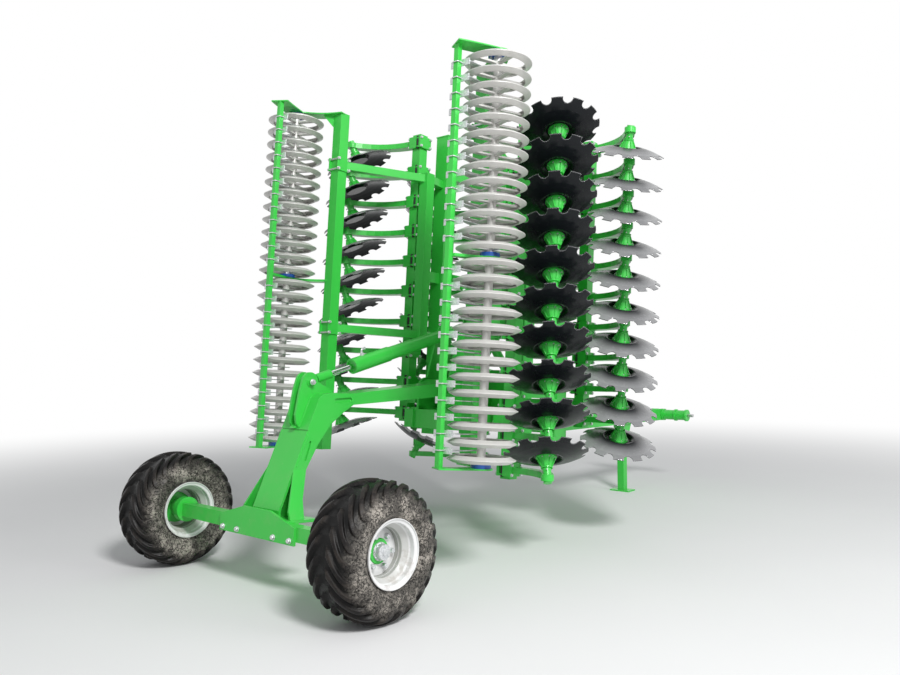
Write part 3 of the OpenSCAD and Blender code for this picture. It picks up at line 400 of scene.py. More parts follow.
# %% [markdown]
# ## A rod that is half chrome and half paint
# A cylinder's rod is hard chrome, ground round, so its only detail is a very fine turning pattern, but its
# welded eye is green. Both are one CAD node, so the material looks at how far along the rod a point lies: a
# dot product with the rod's direction. This is a place on the part, not in the picture, so it holds from
# every side.

# %% Mix the chrome, with a green eye at its end
LIFT_EYE, LIFT_PIN = np.array([310.0, 0, 1031.0]), np.array([1950.0, 0, 1563.0])
WING_PIN_Y, WING_PIN_UP, TOWER_Y, TOWER_UP = 392.0, 2113.0, 280.0, 1183.0
CROSSING_X, CROSSING_GAP = 2500.0, 65.0
LIFT_PAINTED, FOLD_PAINTED = 0.2325, 0.115


def fold_cylinder_x(s):
    """The fold cylinders cross, so each passes the middle of the crossing by half their distance."""
    return CROSSING_X - s * CROSSING_GAP


def chrome_rod(name, rod_eye, root, painted):
    """Green within `painted` metres of the eye on the way to the cylinder's root, and chrome beyond it."""
    paint = Paint(name)
    start, direction = tuple(stand(rod_eye)), tuple(turn(unit(root - rod_eye)))
    centred = paint.node("ShaderNodeVectorMath", [paint.point, start], operation="SUBTRACT")[0]
    along = paint.node("ShaderNodeVectorMath", [centred, direction], operation="DOT_PRODUCT")["Value"]
    steel = along.step(painted, painted + 0.002)
    rings = (along * 5200.0).sine()
    rounded, rim = edges(paint, 0.003)
    # Along the edges of the green eye a lighter green is painted as a highlight
    tint = paint.mix(steel, paint.mix(rim * 0.5, GREEN, (0.2, 0.75, 0.25)), (0.83, 0.84, 0.86))
    return paint.finish(tint, 0.30 - steel * 0.20 + rings * steel * 0.02, steel, rounded)


lift_chrome = chrome_rod("lift_chrome", LIFT_EYE, LIFT_PIN, LIFT_PAINTED)
fold_chrome = {}
for name, s in SIDES.items():
    wing_pin = np.array([fold_cylinder_x(s), s * WING_PIN_Y, WING_PIN_UP])
    tower_pin = np.array([fold_cylinder_x(s), -s * TOWER_Y, TOWER_UP])
    fold_chrome[name] = chrome_rod("fold_chrome_" + name, wing_pin, tower_pin, FOLD_PAINTED)

# %% [markdown]
# ## Link pins of bare steel
# The cross shaft at the hitch is painted, but the two pins at its ends are bare, because the balls of the
# lower links slide on them. The distance from the middle of the machine tells one from the other.

# %% Mix the paint and steel of the hitch shaft
HITCH_HALF = 0.430


def hitch_paint():
    """Steel where y squared is past the shaft's half length squared, with rust by noise, and green inside."""
    paint = Paint("hitch_paint")
    y = paint.split()[1]
    steel = (y * y).step((HITCH_HALF + 0.0005) ** 2, (HITCH_HALF + 0.0025) ** 2)
    rust = paint.noise(40.0, 6.0, 0.65).step(0.55, 0.75) * steel
    shaft = paint.mix(paint.noise(0.9, 2.0), GREEN, (0.05, 0.64, 0.08))
    tint = paint.mix(steel, shaft, (0.56, 0.56, 0.57))
    tint = paint.mix(rust * 0.4, tint, (0.20, 0.10, 0.05))
    return paint.finish(tint, 0.30 + rust * 0.3, steel * 0.9, soft_normal(paint, 0.003), Coat_Weight=0.2)


hitch_finish = hitch_paint()

# %% [markdown]
# ## Gloss black discs with bright edges
# A disc is pressed from boron steel, dipped in black paint and sharpened, so its notched edge is bare. Where
# a face points up, a pale film lies on it: some dust, and a painted reflection of the bright sky. The film is
# less towards the hub, which is painted shade of the hub and its arm. The material needs to know how far a
# point is from its own disc's middle. The ten discs of a row stand at equal steps, so subtracting whole steps
# brings them all to the first one, where a distance from the axis is plain.

# %% Mix the disc paint for one row
DISCS, PITCH, FIRST_UP, DISC_Y = 10, 288.0, 602.0, 1170.0
CUT, TIP = math.radians(16.0), math.radians(17.0)
ROWS = {"rear": (1760.0, 1, 22.0), "front": (2860.0, -1, -38.0)}


def hub_direction(s, row):
    """From a disc to its hub: rearwards by the cutting angle, outwards by the lean, up or down the wing."""
    return np.array([-math.sin(CUT) * math.cos(TIP), s * math.sin(TIP),
                     s * ROWS[row][1] * math.cos(CUT) * math.cos(TIP)])


def disc_centres(s, row):
    """The disc centres of one row: equal steps up the folded wing."""
    x, _, shift = ROWS[row]
    up = FIRST_UP + s * shift + PITCH * np.arange(DISCS)
    return np.stack([np.full(DISCS, x), np.full(DISCS, s * DISC_Y), up], -1)


def machine_point(paint):
    """The point's place on the machine, in metres: `stand` undone, first its move and then its turn."""
    x, y, z = paint.split()
    x, z = x + MID_X / 1000, z - WHEEL_R / 1000
    return x * math.cos(LEAN) - z * math.sin(LEAN), y, x * math.sin(LEAN) + z * math.cos(LEAN)


def disc_paint(row, side):
    """Bare steel by the distance from the disc's axis, which is the root of what the axis leaves over."""
    paint = Paint("disc_%s_%s" % (row, side))
    first, v = disc_centres(SIDES[side], row)[0] / 1000, hub_direction(SIDES[side], row)
    ahead, out, rise = (value - middle for value, middle in zip(machine_point(paint), first))
    rise = rise - (rise / (PITCH / 1000) + 0.5).floor() * (PITCH / 1000)
    along = ahead * v[0] + out * v[1] + rise * v[2]
    far = (ahead * ahead + out * out + rise * rise - along * along).most(0.0) ** 0.5
    rounded, rim = edges(paint, 0.004)
    bare = (far.step(0.278, 0.288) * rim * 1.6).least(1.0)
    facing = paint.upward().step(0.45, 0.85)
    # Pale film on up faces: dust and a painted sky reflection; less near the hub, as painted shade
    dust_and_painted_light = facing * far.step(0.12, 0.29) * (0.50 + paint.noise(5.0, 4.0) * 0.50)
    dust = paint.noise(26.0, 8.0, 0.70).step(0.52, 0.80)
    tint = paint.mix(paint.noise(3.2, 3.0), (0.004, 0.005, 0.007), (0.011, 0.013, 0.016))
    tint = paint.mix(dust * 0.035, tint, (0.30, 0.28, 0.25))
    tint = paint.mix(dust_and_painted_light, tint, (0.42, 0.42, 0.43))
    tint = paint.mix(bare, tint, (0.66, 0.66, 0.67))
    normal = paint.bump(paint.noise(120.0, 3.0), 0.0004, 0.10, rounded)
    rough = 0.20 + dust * 0.16 + dust_and_painted_light * 0.10
    return paint.finish(tint, rough, bare * 0.7, normal, Specular_IOR_Level=0.22, Sheen_Weight=0.15,
                        Sheen_Roughness=0.30)


print("disc axis", hub_direction(1, "rear").round(3))

# %% [markdown]
# ## Rubber and mud
# The flotation tyres are new, black and a little wet, with thin mud on the bars and a pale dried crust on the
# sidewalls, broken by dark cracks. The tread's mesh carries a number called bar, 1 on a bar and 0 between
# bars, and the material reads it beside the distance from the axle.

# %% Mix the tyre's rubber


def tyre_rubber():
    """Bars and the distance from the axle place the mud; noise breaks it up, and its ridges are cracks."""
    paint = Paint("tyre_rubber")
    bar = paint.node("ShaderNodeAttribute", attribute_name="bar")["Fac"]
    sidewall = 1 - from_axle(paint).step(0.315, 0.405)
    coarse = paint.noise(8.0, 6.0, 0.60)
    fine = paint.noise(70.0, 8.0, 0.70)
    ridge = paint.noise(34.0, 4.0, 0.60) - 0.5
    crack = 1 - (ridge * ridge).step(0.0, 0.0020)
    film = (coarse * 0.6 + fine * 0.4).step(0.45, 0.62)
    crust = sidewall * (0.22 + film * 0.78) * (1 - crack * 0.9)
    # Painted shade: the grooves between the bars are a darker black than the bars
    tint = paint.mix(bar, (0.001, 0.001, 0.001), (0.005, 0.004, 0.004))
    tint = paint.mix(film * bar * 0.14, tint, (0.20, 0.165, 0.135))
    tint = paint.mix(crust, tint, (0.42, 0.385, 0.34))
    height = fine * 0.5 + (1 - crack) * sidewall * 0.5
    rough = (0.34 + film * 0.25 + crust * 0.4).least(1.0)
    return paint.finish(tint, rough, 0.0, paint.bump(height, 0.004, 0.6), Specular_IOR_Level=0.22)


def cushion_rubber():
    """Two blacks by noise, with a fine grain as bump."""
    paint = Paint("black_rubber")
    tint = paint.mix(paint.noise(80.0), (0.012, 0.012, 0.012), (0.03, 0.03, 0.03))
    return paint.finish(tint, 0.7, normal=paint.bump(paint.noise(400.0), 0.0005, 0.4))


rubber = tyre_rubber()
black_rubber = cushion_rubber()

# %% [markdown]
# ## Give the CAD nodes their finish
# Most CAD nodes have the right shape, so they only need a material in their first slot. A few lines sort
# them by name.

# %% Dress the CAD nodes
FINISH = {"rim": rim_paint, "roller_right": cast, "roller_left": cast, "roller_bearings": blue,
          "scrapers": zinc, "lift_rod": lift_chrome, "hitch_shaft": hitch_finish}


def finish_of(name):
    """By the word that the name starts with. Disc rows and fold rods have their own; the rest is green."""
    for stem, material in FINISH.items():
        if name.startswith(stem):
            return material
    if "discs" in name:
        row, _, side = name.split("_")
        return disc_paint(row, side)
    if name.startswith("fold_rod"):
        return fold_chrome[name.split("_")[-1]]
    return green


for name, node in nodes.items():
    node.data.materials.clear()
    node.data.materials.append(finish_of(name))
print("materials", len(bpy.data.materials))

# %% [markdown]
# ## Shapes as grids of points
# Nearly every small piece here is a skin over a stack of rings: a bolt head, a rod, a tyre, a wire that
# follows a path. So one function joins rings into faces, and the others only work out where the rings are.
# All of it is whole-array numpy, because forty hubs with eight ribs each would be slow point by point.

# %% Skin, revolve and wire


def skin(rings, loop=False):
    """Point j of ring i joins j+1 and ring i+1. A face closes each end, or the last ring joins the first."""
    rings = np.asarray(rings, float)
    rows, n = rings.shape[:2]
    index = np.arange(rows * n).reshape(rows, n)
    after = np.roll(index, -1, axis=1)
    quads = np.stack([index, after, np.roll(after, -1, axis=0), np.roll(index, -1, axis=0)], -1)
    if loop:
        return rings.reshape(-1, 3), [quads.reshape(-1, 4)]
    return rings.reshape(-1, 3), [quads[:-1].reshape(-1, 4), index[0][::-1][None], index[-1][None]]


def circle(radius, n, phase=0.0):
    """n points at equal angles: radius times cosine and sine."""
    a = np.arange(n) * 2 * np.pi / n + phase
    return np.stack([radius * np.cos(a), radius * np.sin(a)], -1)


def revolve(profile, n, loop=False):
    """Each (radius, height) of the profile becomes a ring of n points about z."""
    return skin([np.column_stack([circle(r, n), np.full(n, z)]) for r, z in profile], loop)


def wire(path, radius, n=8):
    """A ring across each point of the path, square to its direction; radius is one number or one a ring."""
    path = np.asarray(path, float)
    way = np.gradient(path, axis=0)
    way /= np.linalg.norm(way, axis=1)[:, None]
    flat = np.cross(way, way.mean(0) + np.array([0.013, 0.031, 0.9]))
    flat /= np.linalg.norm(flat, axis=1)[:, None]
    third = np.cross(way, flat)
    c = circle(1.0, n)[None] * np.broadcast_to(radius, len(path))[:, None, None]
    return skin(path[:, None] + flat[:, None] * c[:, :, :1] + third[:, None] * c[:, :, 1:])


print("faces of a short rod", sum(len(group) for group in revolve([(1, 0), (1, 1)], 12)[1]))

# %% [markdown]
# ## One shape many times
# A shape here is its points and its faces as point numbers, so a copy only needs new points, and numbers
# that are raised by the points before it. Blender could link one mesh to many objects, but a row of bolts is
# easier to carry, and to fold with its wing, as one piece.

# %% Move, join, copy and turn shapes
ANY_SIDE = (0.0137, 1.0, 0.0213)


def moved(shape, by):
    """The shape with one step added to every point."""
    return shape[0] + np.asarray(by, float), shape[1]


def join(shapes):
    """Several shapes as one: each one's point numbers are raised by the points before it."""
    points, faces, start = [], [], 0
    for p, groups in shapes:
        points.append(p)
        faces += [group + start for group in groups]
        start += len(p)
    return np.vstack(points), faces


def copies(shape, origins, axes, sides=ANY_SIDE):
    """The shape at each origin, its z along the axis there: origin + x side + y third + z axis."""
    points, groups = shape
    origins = np.atleast_2d(np.asarray(origins, float))
    axes = np.broadcast_to(np.asarray(axes, float), origins.shape)
    sides = np.broadcast_to(np.asarray(sides, float), origins.shape)
    w = axes / np.linalg.norm(axes, axis=1)[:, None]
    side = sides - w * np.sum(sides * w, 1)[:, None]
    side = side / np.linalg.norm(side, axis=1)[:, None]
    basis = np.stack([side, np.cross(w, side), w], -1)
    placed = origins[:, None] + np.einsum("nij,pj->npi", basis, points)
    shift = (np.arange(len(origins)) * len(points))[:, None, None]
    return placed.reshape(-1, 3), [(group[None] + shift).reshape(-1, group.shape[1]) for group in groups]


def around(shape, n, phase=0.0):
    """n turned copies about z: each point turns by its copy's angle."""
    points, groups = shape
    turned_copies = []
    for k in range(n):
        a = 2 * np.pi * k / n + phase
        m = np.array([[math.cos(a), -math.sin(a), 0], [math.sin(a), math.cos(a), 0], [0, 0, 1]])
        turned_copies.append((points @ m.T, groups))
    return join(turned_copies)


print("points of three rods", len(around(revolve([(1, 0), (1, 1)], 12), 3)[0]))

# %% [markdown]
# ## A piece, and the bolt that most pieces need
# A piece is a mesh in its place, with one material, that rides on a body of the machine. Most of them hold
# bolts: a six-sided head whose top narrows a little, as a forged head does, on a round washer.

# %% Build a piece, and shape a bolt head
WASHER_T = 3.0
made = {}


def piece(name, shape, material, body, smooth=False):
    """Stands the points on the ground, builds the mesh, and lets it ride on its body."""
    points, groups = shape
    mesh = bpy.data.meshes.new(name)
    mesh.from_pydata(stand(points).tolist(), [], [face for group in groups for face in group.tolist()])
    mesh.materials.append(material)
    mesh.validate()
    obj = bpy.data.objects.new(name, mesh)
    scene.collection.objects.link(obj)
    if smooth:
        mesh.shade_smooth()
    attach(obj, body)
    made[name] = sum(len(face) - 2 for group in groups for face in group)
    return obj


def hex_bolt(across, height, washer=0.0):
    """Rings of six points, the corner's radius being the width over the root of 3; washer is a radius."""
    corner = across / math.sqrt(3)
    head = revolve([(corner, 0.0), (corner, height * 0.85), (corner * 0.9, height)], 6)
    if not washer:
        return head
    return join([revolve([(washer, 0.0), (washer, WASHER_T)], 16), moved(head, (0, 0, WASHER_T))])


print("bolt faces", sum(len(group) for group in hex_bolt(24, 12, 15)[1]))

# %% [markdown]
# ## The flotation tyres
# A tyre like this has curved bars that start near the middle of the tread and run out over the shoulder.
# Modelling each bar as a block would give hard joints, so the whole outer skin is one grid instead: angle
# round the wheel times place across the section. The grooves are a depth taken off that grid. A bar is where
# the angle, shifted by a curve that flattens towards the shoulder, falls in the middle half of its step. The
# two sides of the tread are half a step apart.

# %% Work out a tyre's skin with its bars
TRACK, TYRE_W, WIDEST_R, SEAT = 2254.0, 404.0, 257.3, 197.3
BARS, BAR_DEPTH, BAR_SWING, SWING_END = 22, 24.0, 0.70, 0.72
TURNS, ACROSS = 748, 100
# Place, width and height of the sidewall's ridges; radius and place of the bead and the lining
LIPS = ((0.84, 0.02, 2.5), (0.93, 0.015, 1.5))
FOOT = [(219.3, 167.0), (SEAT, 164.0), (SEAT, 120.0), (260.0, 140.0), (350.0, 120.0), (372.0, 0.0)]


def ease(x, low, high):
    """0 below low, 1 above high; between them 3 t squared minus 2 t cubed."""
    t = np.clip((x - low) / (high - low), 0, 1)
    return t * t * (3 - 2 * t)


def bar_mask(theta, t, shift):
    """1 where the angle, less the swing at t, lies near the middle of its step; 0 past the bars' two ends."""
    swing = BAR_SWING * (1 - (1 - np.clip(t / SWING_END, 0, 1)) ** 1.8) * np.pi / 4
    phase = (theta[:, None] - swing[None]) * BARS / (2 * np.pi) + shift[None]
    phase = np.abs(phase - np.floor(phase) - 0.5) * 2
    width = 0.47 - 0.06 * t
    bar = 1 - ease(phase, width[None] - 0.07, width[None] + 0.07)
    reach = (1 - ease(t, 0.76, 0.88)) * ease(t, 0.01, 0.05)
    return bar * reach[None]


def tyre_shape(s):
    """Outer section: width times a power of cosine, radius with a power of sine. Grooves sink into it."""
    theta = np.arange(TURNS) * 2 * np.pi / TURNS
    a = np.linspace(np.pi, 0, ACROSS)
    c, k = np.cos(a), np.sin(a)
    y = np.sign(c) * TYRE_W / 2 * np.abs(c) ** 0.55
    r = WIDEST_R + (WHEEL_R - WIDEST_R) * k ** 0.75
    # t runs from 0 in the middle of the tread to 1 where the tyre is widest
    t = np.abs(a / (np.pi / 2) - 1)
    bar = bar_mask(theta, t, np.where(c >= 0, 0.0, 0.5))
    down = BAR_DEPTH * (1 - bar) * (1 - ease(t, 0.50, 0.90))[None]
    # Outward direction of the section, along which grooves go down and lips come up
    nr, ny = np.gradient(y), -np.gradient(r)
    size = np.hypot(nr, ny)
    nr, ny = nr / size, ny / size
    lip = sum(height * np.exp(-((t - at) / width) ** 2) for at, width, height in LIPS)
    radius = r[None] - down * nr[None] + lip[None] * nr[None]
    place = y[None] - down * ny[None] + lip[None] * ny[None]
    inner = np.array(FOOT + [(foot_r, -foot_y) for foot_r, foot_y in FOOT[:-1]][::-1])
    radius = np.hstack([radius, np.broadcast_to(inner[:, 0], (TURNS, len(inner)))])
    place = np.hstack([place, np.broadcast_to(inner[:, 1], (TURNS, len(inner)))])
    rings = np.stack([radius * np.cos(theta)[:, None], s * (TRACK / 2 + place),
                      radius * np.sin(theta)[:, None]], -1)
    bar = np.hstack([bar, np.zeros((TURNS, len(inner)))])
    back = slice(None) if s < 0 else slice(None, None, -1)
    return skin(rings[:, back], loop=True), bar[:, back].ravel()


for name, s in SIDES.items():
    shape, bar = tyre_shape(s)
    tyre = piece("tyre_tread_" + name, shape, rubber, "wheel_" + name, smooth=True)
    tyre.data.attributes.new("bar", "FLOAT", "POINT").data.foreach_set("value", bar.astype(np.float32))
    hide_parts("tyre_" + name)
print("tyre triangles", made["tyre_tread_right"])

# %% [markdown]
# ## Deep rims, green hubs, nuts and caps
# A flotation rim is rolled from one strip: two bead seats, a deep well between them and a curled flange at
# each side. Its disc sits a little outside the middle, with a bore that centres on the green hub. Six nuts
# hold it, and a bright cap closes the bearing. All are turned shapes, so each is one closed outline of radius
# and height, carried round the axle. The outer side of the wheel is the side away from the machine.

# %% Turn the rims and hubs, and set the nuts
WELL_R, DISC_IN, DISC_OUT, BORE_R, STUD_R = 153.0, 30.0, 42.0, 80.0, 102.5
SPINDLE_R, DRUM_IN, SEAT_GAP, SHARP = 40.0, -150.0, 0.3, math.radians(30)

half_rim = [(215, 171), (215, 181), (212, 183), (209, 181), (207, 173), (190, 168), (187, 164), (187, 132),
            (183, 126), (160, 97), (155, 92), (WELL_R, 88), (WELL_R, 72), (148, 70), (148, 64), (WELL_R, 62)]
half_back = [(SEAT - SEAT_GAP, 166), (SEAT - SEAT_GAP, 127), (163, 95)]
barrel = (half_rim + [(r, -z) for r, z in half_rim[::-1]]
          + [(r, -z) for r, z in half_back] + half_back[::-1])
wheel_disc = [(WELL_R + 2, DISC_OUT - 8), (140, DISC_OUT - 8), (124, DISC_OUT), (BORE_R, DISC_OUT),
              (BORE_R, DISC_IN), (124, DISC_IN), (140, DISC_IN - 8), (WELL_R + 2, DISC_IN - 8)]
hub_bell = [(SPINDLE_R, DRUM_IN), (95, DRUM_IN), (95, -90), (70, -70), (62, 8), (118, 14), (118, DISC_IN),
            (BORE_R - 2, DISC_IN), (BORE_R - 2, DISC_OUT + 4), (74, DISC_OUT + 8), (50, DISC_OUT + 8),
            (46, -20), (SPINDLE_R, -26)]
cap = [(57, 46), (58, 56), (55, 60), (50, 62), (50, 94), (47, 99), (22, 101), (21, 106), (12, 106)]
valve = revolve([(4.5, 0), (4.5, 30), (6, 31), (6, 40), (5, 42)], 12)
trimmings = [around(moved(hex_bolt(30, 24, 17), (STUD_R, 0, DISC_OUT)), 6, np.pi / 6),
             revolve(cap, 48),
             around(moved(hex_bolt(10, 5, 6), (53, 0, 60)), 8),
             copies(valve, [[133, 40, 34]], (-0.1, 0, 1), (1, 0, 0))]
rim = join([revolve(barrel, 96, loop=True), revolve(wheel_disc, 96, loop=True)])
TURNED = {"rim": (rim, rim_paint, "rim"), "wheel_hub": (revolve(hub_bell, 64, loop=True), green, "green")}
for name, s in SIDES.items():
    middle = [[0, s * TRACK / 2, 0]]
    for kind, (shape, material, slot) in TURNED.items():
        turned_part = piece(kind + "_shell_" + name, copies(shape, middle, (0, s, 0)), material,
                            "wheel_" + name, smooth=True)
        turned_part.data.set_sharp_from_angle(angle=SHARP)
        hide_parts(kind + "_" + name)
    nuts = copies(join(trimmings), middle, (0, s, 0), (0.05, 0, 1))
    piece("wheel_nuts_" + name, nuts, zinc, "wheel_" + name)
print("rim triangles", made["rim_shell_right"], "hub", made["wheel_hub_shell_right"])

# %% [markdown]
# ## Ribs, bolts and grease nipples of the disc hubs
# A disc hub is a cast bell: eight ribs run from its collar down to the flange, with a bolt between each pair.
# One hub's trimmings are made once, about the hub's own axis, and `copies` then sets them on all forty.

# %% Make one hub's ribs and bolts, then forty
HUB_SEAT, HUB_H, HUB_RIBS, RIB_HALF = 38.0, 96.0, 8, 3.5


def rib():
    """A thin wedge that leans on the bell: its outline in radius and height, half its thickness each way."""
    low, high = HUB_SEAT + 12, HUB_SEAT + HUB_H - 13
    outline = np.array([(60, low), (79, low), (78, low + 8), (47, high), (38, high)])
    return skin([np.column_stack([outline[:, 0], np.full(len(outline), y), outline[:, 1]])
                 for y in (RIB_HALF, -RIB_HALF)])


hub_ribs = around(rib(), HUB_RIBS)
hub_bolts = around(moved(hex_bolt(15, 9), (70, 0, HUB_SEAT + 13)), HUB_RIBS, np.pi / HUB_RIBS)
nipple = copies(revolve([(4, 0), (4, 8), (6, 9), (6, 13), (3, 16)], 8),
                [[34, 0, HUB_SEAT + HUB_H + 22]], (1, 0, 0), (0, 0, 1))
for name, s in SIDES.items():
    ribs, bolts = [], []
    for row in ROWS:
        centres, v = disc_centres(s, row), hub_direction(s, row)
        ribs.append(copies(hub_ribs, centres, v, (-0.2, -s, 0.1)))
        bolts.append(copies(join([hub_bolts, nipple]), centres, v, (-0.6, s * 0.4, 0.1)))
    piece("hub_ribs_" + name, join(ribs), green, "wing_" + name)
    piece("hub_bolts_" + name, join(bolts), zinc, "wing_" + name)
print("hub ribs", made["hub_ribs_right"], "bolts", made["hub_bolts_right"])

# %% [markdown]
# ## Rubber-cushioned clamps
# Each disc arm is held to its square beam by a clamp with four rubber rods in its corners, the springs of the
# machine. Only the ends of the rods and the four corner bolts show.

# %% Put the cushions and bolts on forty clamps
BEAM_AHEAD, BEAM_Y, RISE = 270.0, 615.0, 190.0
CLAMP_BOLT_X, CLAMP_BOLT_UP, CLAMP_INNER, CLAMP_OUTER = 63.0, 41.0, 74.6, 76.3
CUSHION_X, CUSHION_Y = 60.0, 25.0


def clamp_centres(s, row):
    """Each arm's clamp: ahead of the disc, at the beam, and above or below it by the arm's rise."""
    x, _, up = disc_centres(s, row).T
    return np.column_stack([x + BEAM_AHEAD, np.full(DISCS, s * BEAM_Y), up + s * ROWS[row][1] * RISE])


cushion = revolve([(11, -62), (12, -60), (12, 60), (11, 62)], 12)
for name, s in SIDES.items():
    bolts, cushions = [], []
    for row in ROWS:
        c = clamp_centres(s, row)
        for dx in (-CLAMP_BOLT_X, CLAMP_BOLT_X):
            for du in (-CLAMP_BOLT_UP, CLAMP_BOLT_UP):
                bolts.append(copies(hex_bolt(22, 12, 14), c + [dx, -s * CLAMP_INNER, du], (0, -s, 0)))
                bolts.append(copies(hex_bolt(22, 10, 14), c + [dx, s * CLAMP_OUTER, du], (0, s, 0)))
        for dx in (-CUSHION_X, CUSHION_X):
            cushions.append(copies(cushion, c + [dx, -s * CUSHION_Y, 0], (0, 0, 1)))
    piece("clamp_bolts_" + name, join(bolts), zinc, "wing_" + name)
    piece("clamp_cushions_" + name, join(cushions), black_rubber, "wing_" + name, smooth=True)
print("clamp bolts", made["clamp_bolts_right"])

# %% [markdown]
# ## U-bolts of the scrapers
# A scraper sits between each pair of rings, and a U-bolt holds it round the square bar. The wire's path is a
# U with two rounded corners, swept with a round section, and a nut closes each leg. The middle gap has no
# scraper, because a bearing is there.

# %% Bend one U-bolt and set it at every scraper
SCRAPER_X, SCRAPER_Y = 673.0, 1029.0
RINGS, RING_PITCH, RING_UP, MIDDLE_GAP = 26, 115.0, 540.0, 12
BAR_HALF, SHANK_T, WIRE_R = 20.0, 8.0, 4.5


def u_path(half, legs, round_r=9.0, n=6):
    """Leg, quarter turn, back, quarter turn, leg, in the x-y plane, with the back at negative x."""
    a = np.linspace(0, np.pi / 2, n)
    top = np.column_stack([-half + round_r - round_r * np.sin(a), half - round_r + round_r * np.cos(a)])
    path = np.vstack([[[legs, half]], top, (top * [1, -1])[::-1], [[legs, -half]]])
    return np.column_stack([path, np.zeros(len(path))])


gaps = np.delete(np.arange(RINGS - 1), MIDDLE_GAP)
ups = RING_UP + (gaps + 0.5) * RING_PITCH
leg = BAR_HALF + WIRE_R + 1.0
u_bolt = wire(u_path(leg, BAR_HALF + SHANK_T + 15.0), WIRE_R)
u_nuts = copies(hex_bolt(15, 9), [(BAR_HALF + SHANK_T, y, 0) for y in (-leg, leg)], (1, 0, 0))
for name, s in SIDES.items():
    spots = np.column_stack([np.full(len(ups), SCRAPER_X), np.full(len(ups), s * SCRAPER_Y), ups])
    piece("scraper_u_bolts_" + name, copies(join([u_bolt, u_nuts]), spots, (0, 0, 1), (1, 0, 0)), zinc,
          "wing_" + name)
print("u-bolts", made["scraper_u_bolts_right"])

# %% [markdown]
# ## Bolts of the axle shoe and the bearings
# Four long bolts pull the shoe's two side plates together under the axle. The blue bearings of the rollers
# have four bolts each.

# %% Set the shoe's and the bearings' bolts
SHOE_FACE, SHOE_BOLT_Y, SHOE_BOLT_UP = 70.2, (-385.0, -210.0, 210.0, 385.0), -45.0
ROLLER_X, ROLLER_Y, BEARING_BOLT_R, BEARING_T = 962, 1169, 53, 32
BEARINGS = ((476, 1), (3493, -1), (1977.5, 1))

shoe_heads = [copies(hex_bolt(30, 15, 21), [(d * SHOE_FACE, y, SHOE_BOLT_UP) for y in SHOE_BOLT_Y], (d, 0, 0))
              for d in (-1, 1)]
piece("shoe_bolts", join(shoe_heads), zinc, "axle_arm")
for name, s in SIDES.items():
    heads = []
    for up, d in BEARINGS:
        ring = circle(BEARING_BOLT_R, 4, np.pi / 4) + (ROLLER_X, s * ROLLER_Y)
        spots = np.column_stack([ring, np.full(4, up + d * BEARING_T)])
        heads.append(copies(hex_bolt(18, 11), spots, (0, 0, d)))
    piece("bearing_bolts_" + name, join(heads), zinc, "wing_" + name)
print("pieces", len(made), "triangles", sum(made.values()))

# %% [markdown]
# ## Pins and their bolts
# Every hinge of the machine turns on a pin that a bolt and a thick washer keep in place. They show as bright
# spots on the lugs of the lift cylinder, at the arm's pivot and at the feet of the wings. One table gives the
# body, the head and the place of each kind, for the right and the left together.

# %% Close the ends of the pins
FOLD_Y, FOLD_UP, MAIN_X, MAIN_HALF = 320.0, 778.0, (2300.0, 2850.0), 75.0
FOOT_OUT, EYE_OUT, PIN_SIDE = 28.0, 63.0, (0, 1, 0.02)
PIN_ENDS = {"lug_pin_bolts": ("axle_arm", (36, 15, 23), (310.0, 71.0, 1031.0)),
            "pivot_pin_bolts": ("axle_arm", (46, 18, 33), (1750.0, 154.0, 1048.0)),
            "mast_pin_bolts": ("lift_barrel", (30, 12, 19), (1950.0, 154.0, 1563.0))}

for name, (body, head, place) in PIN_ENDS.items():
    heads = [copies(hex_bolt(*head), np.array(place) * [1, s, 1], (0, s, 0)) for s in (-1, 1)]
    piece(name, join(heads), zinc, body)
for name, s in SIDES.items():
    heads = []
    for e in (-1, 1):
        feet = [(x + e * (MAIN_HALF + FOOT_OUT), s * FOLD_Y, FOLD_UP) for x in MAIN_X]
        heads.append(copies(hex_bolt(36, 14, 24), feet, (e, 0, 0), PIN_SIDE))
        rod_eye = (fold_cylinder_x(s) + e * EYE_OUT, s * WING_PIN_Y, WING_PIN_UP)
        heads.append(copies(hex_bolt(28, 11, 19), rod_eye, (e, 0, 0), PIN_SIDE))
    piece("fold_pin_bolts_" + name, join(heads), zinc, "wing_" + name)
print("pin bolts", made["fold_pin_bolts_right"])

# %% [markdown]
# ## Clamp bolts of the roller frame
# Two plates squeeze the roller frame's outer tube at each of its arms, and four long bolts pull them together
# beside the tube. Each bolt is a thin rod with a head outside one plate and a nut outside the other.

# %% Bolt the clamp plates together
TUBE_X, TUBE_Y, ROLLER_ARM_UP, PLATE_Y = 1220.0, 842.0, (1545.0, 3030.0), 61.0
ROD_X, ROD_UP = 60, 46

long_bolt = join([revolve([(8, -PLATE_Y), (8, PLATE_Y)], 12),
                  moved(hex_bolt(24, 12, 15), (0, 0, PLATE_Y)),
                  copies(hex_bolt(24, 14, 15), [[0, 0, -PLATE_Y]], (0, 0, -1), (1, 0, 0))])
for name, s in SIDES.items():
    spots = [(TUBE_X + dx, s * TUBE_Y, up + du)
             for up in ROLLER_ARM_UP for dx in (-ROD_X, ROD_X) for du in (-ROD_UP, ROD_UP)]
    piece("roller_clamp_bolts_" + name, copies(long_bolt, spots, (0, s, 0), (1, 0, 0.02)), zinc,
          "wing_" + name)
print("roller clamp bolts", made["roller_clamp_bolts_right"])

# %% [markdown]
# ## Weld beads
# Tubes and plates are joined by fillet welds, which show as fine rippled seams under the paint. A bead is a
# tube along a line whose radius rises and falls every seven millimetres. Painting the ripple as bump alone
# would leave the corner sharp, so the bead is real geometry, six sides round.

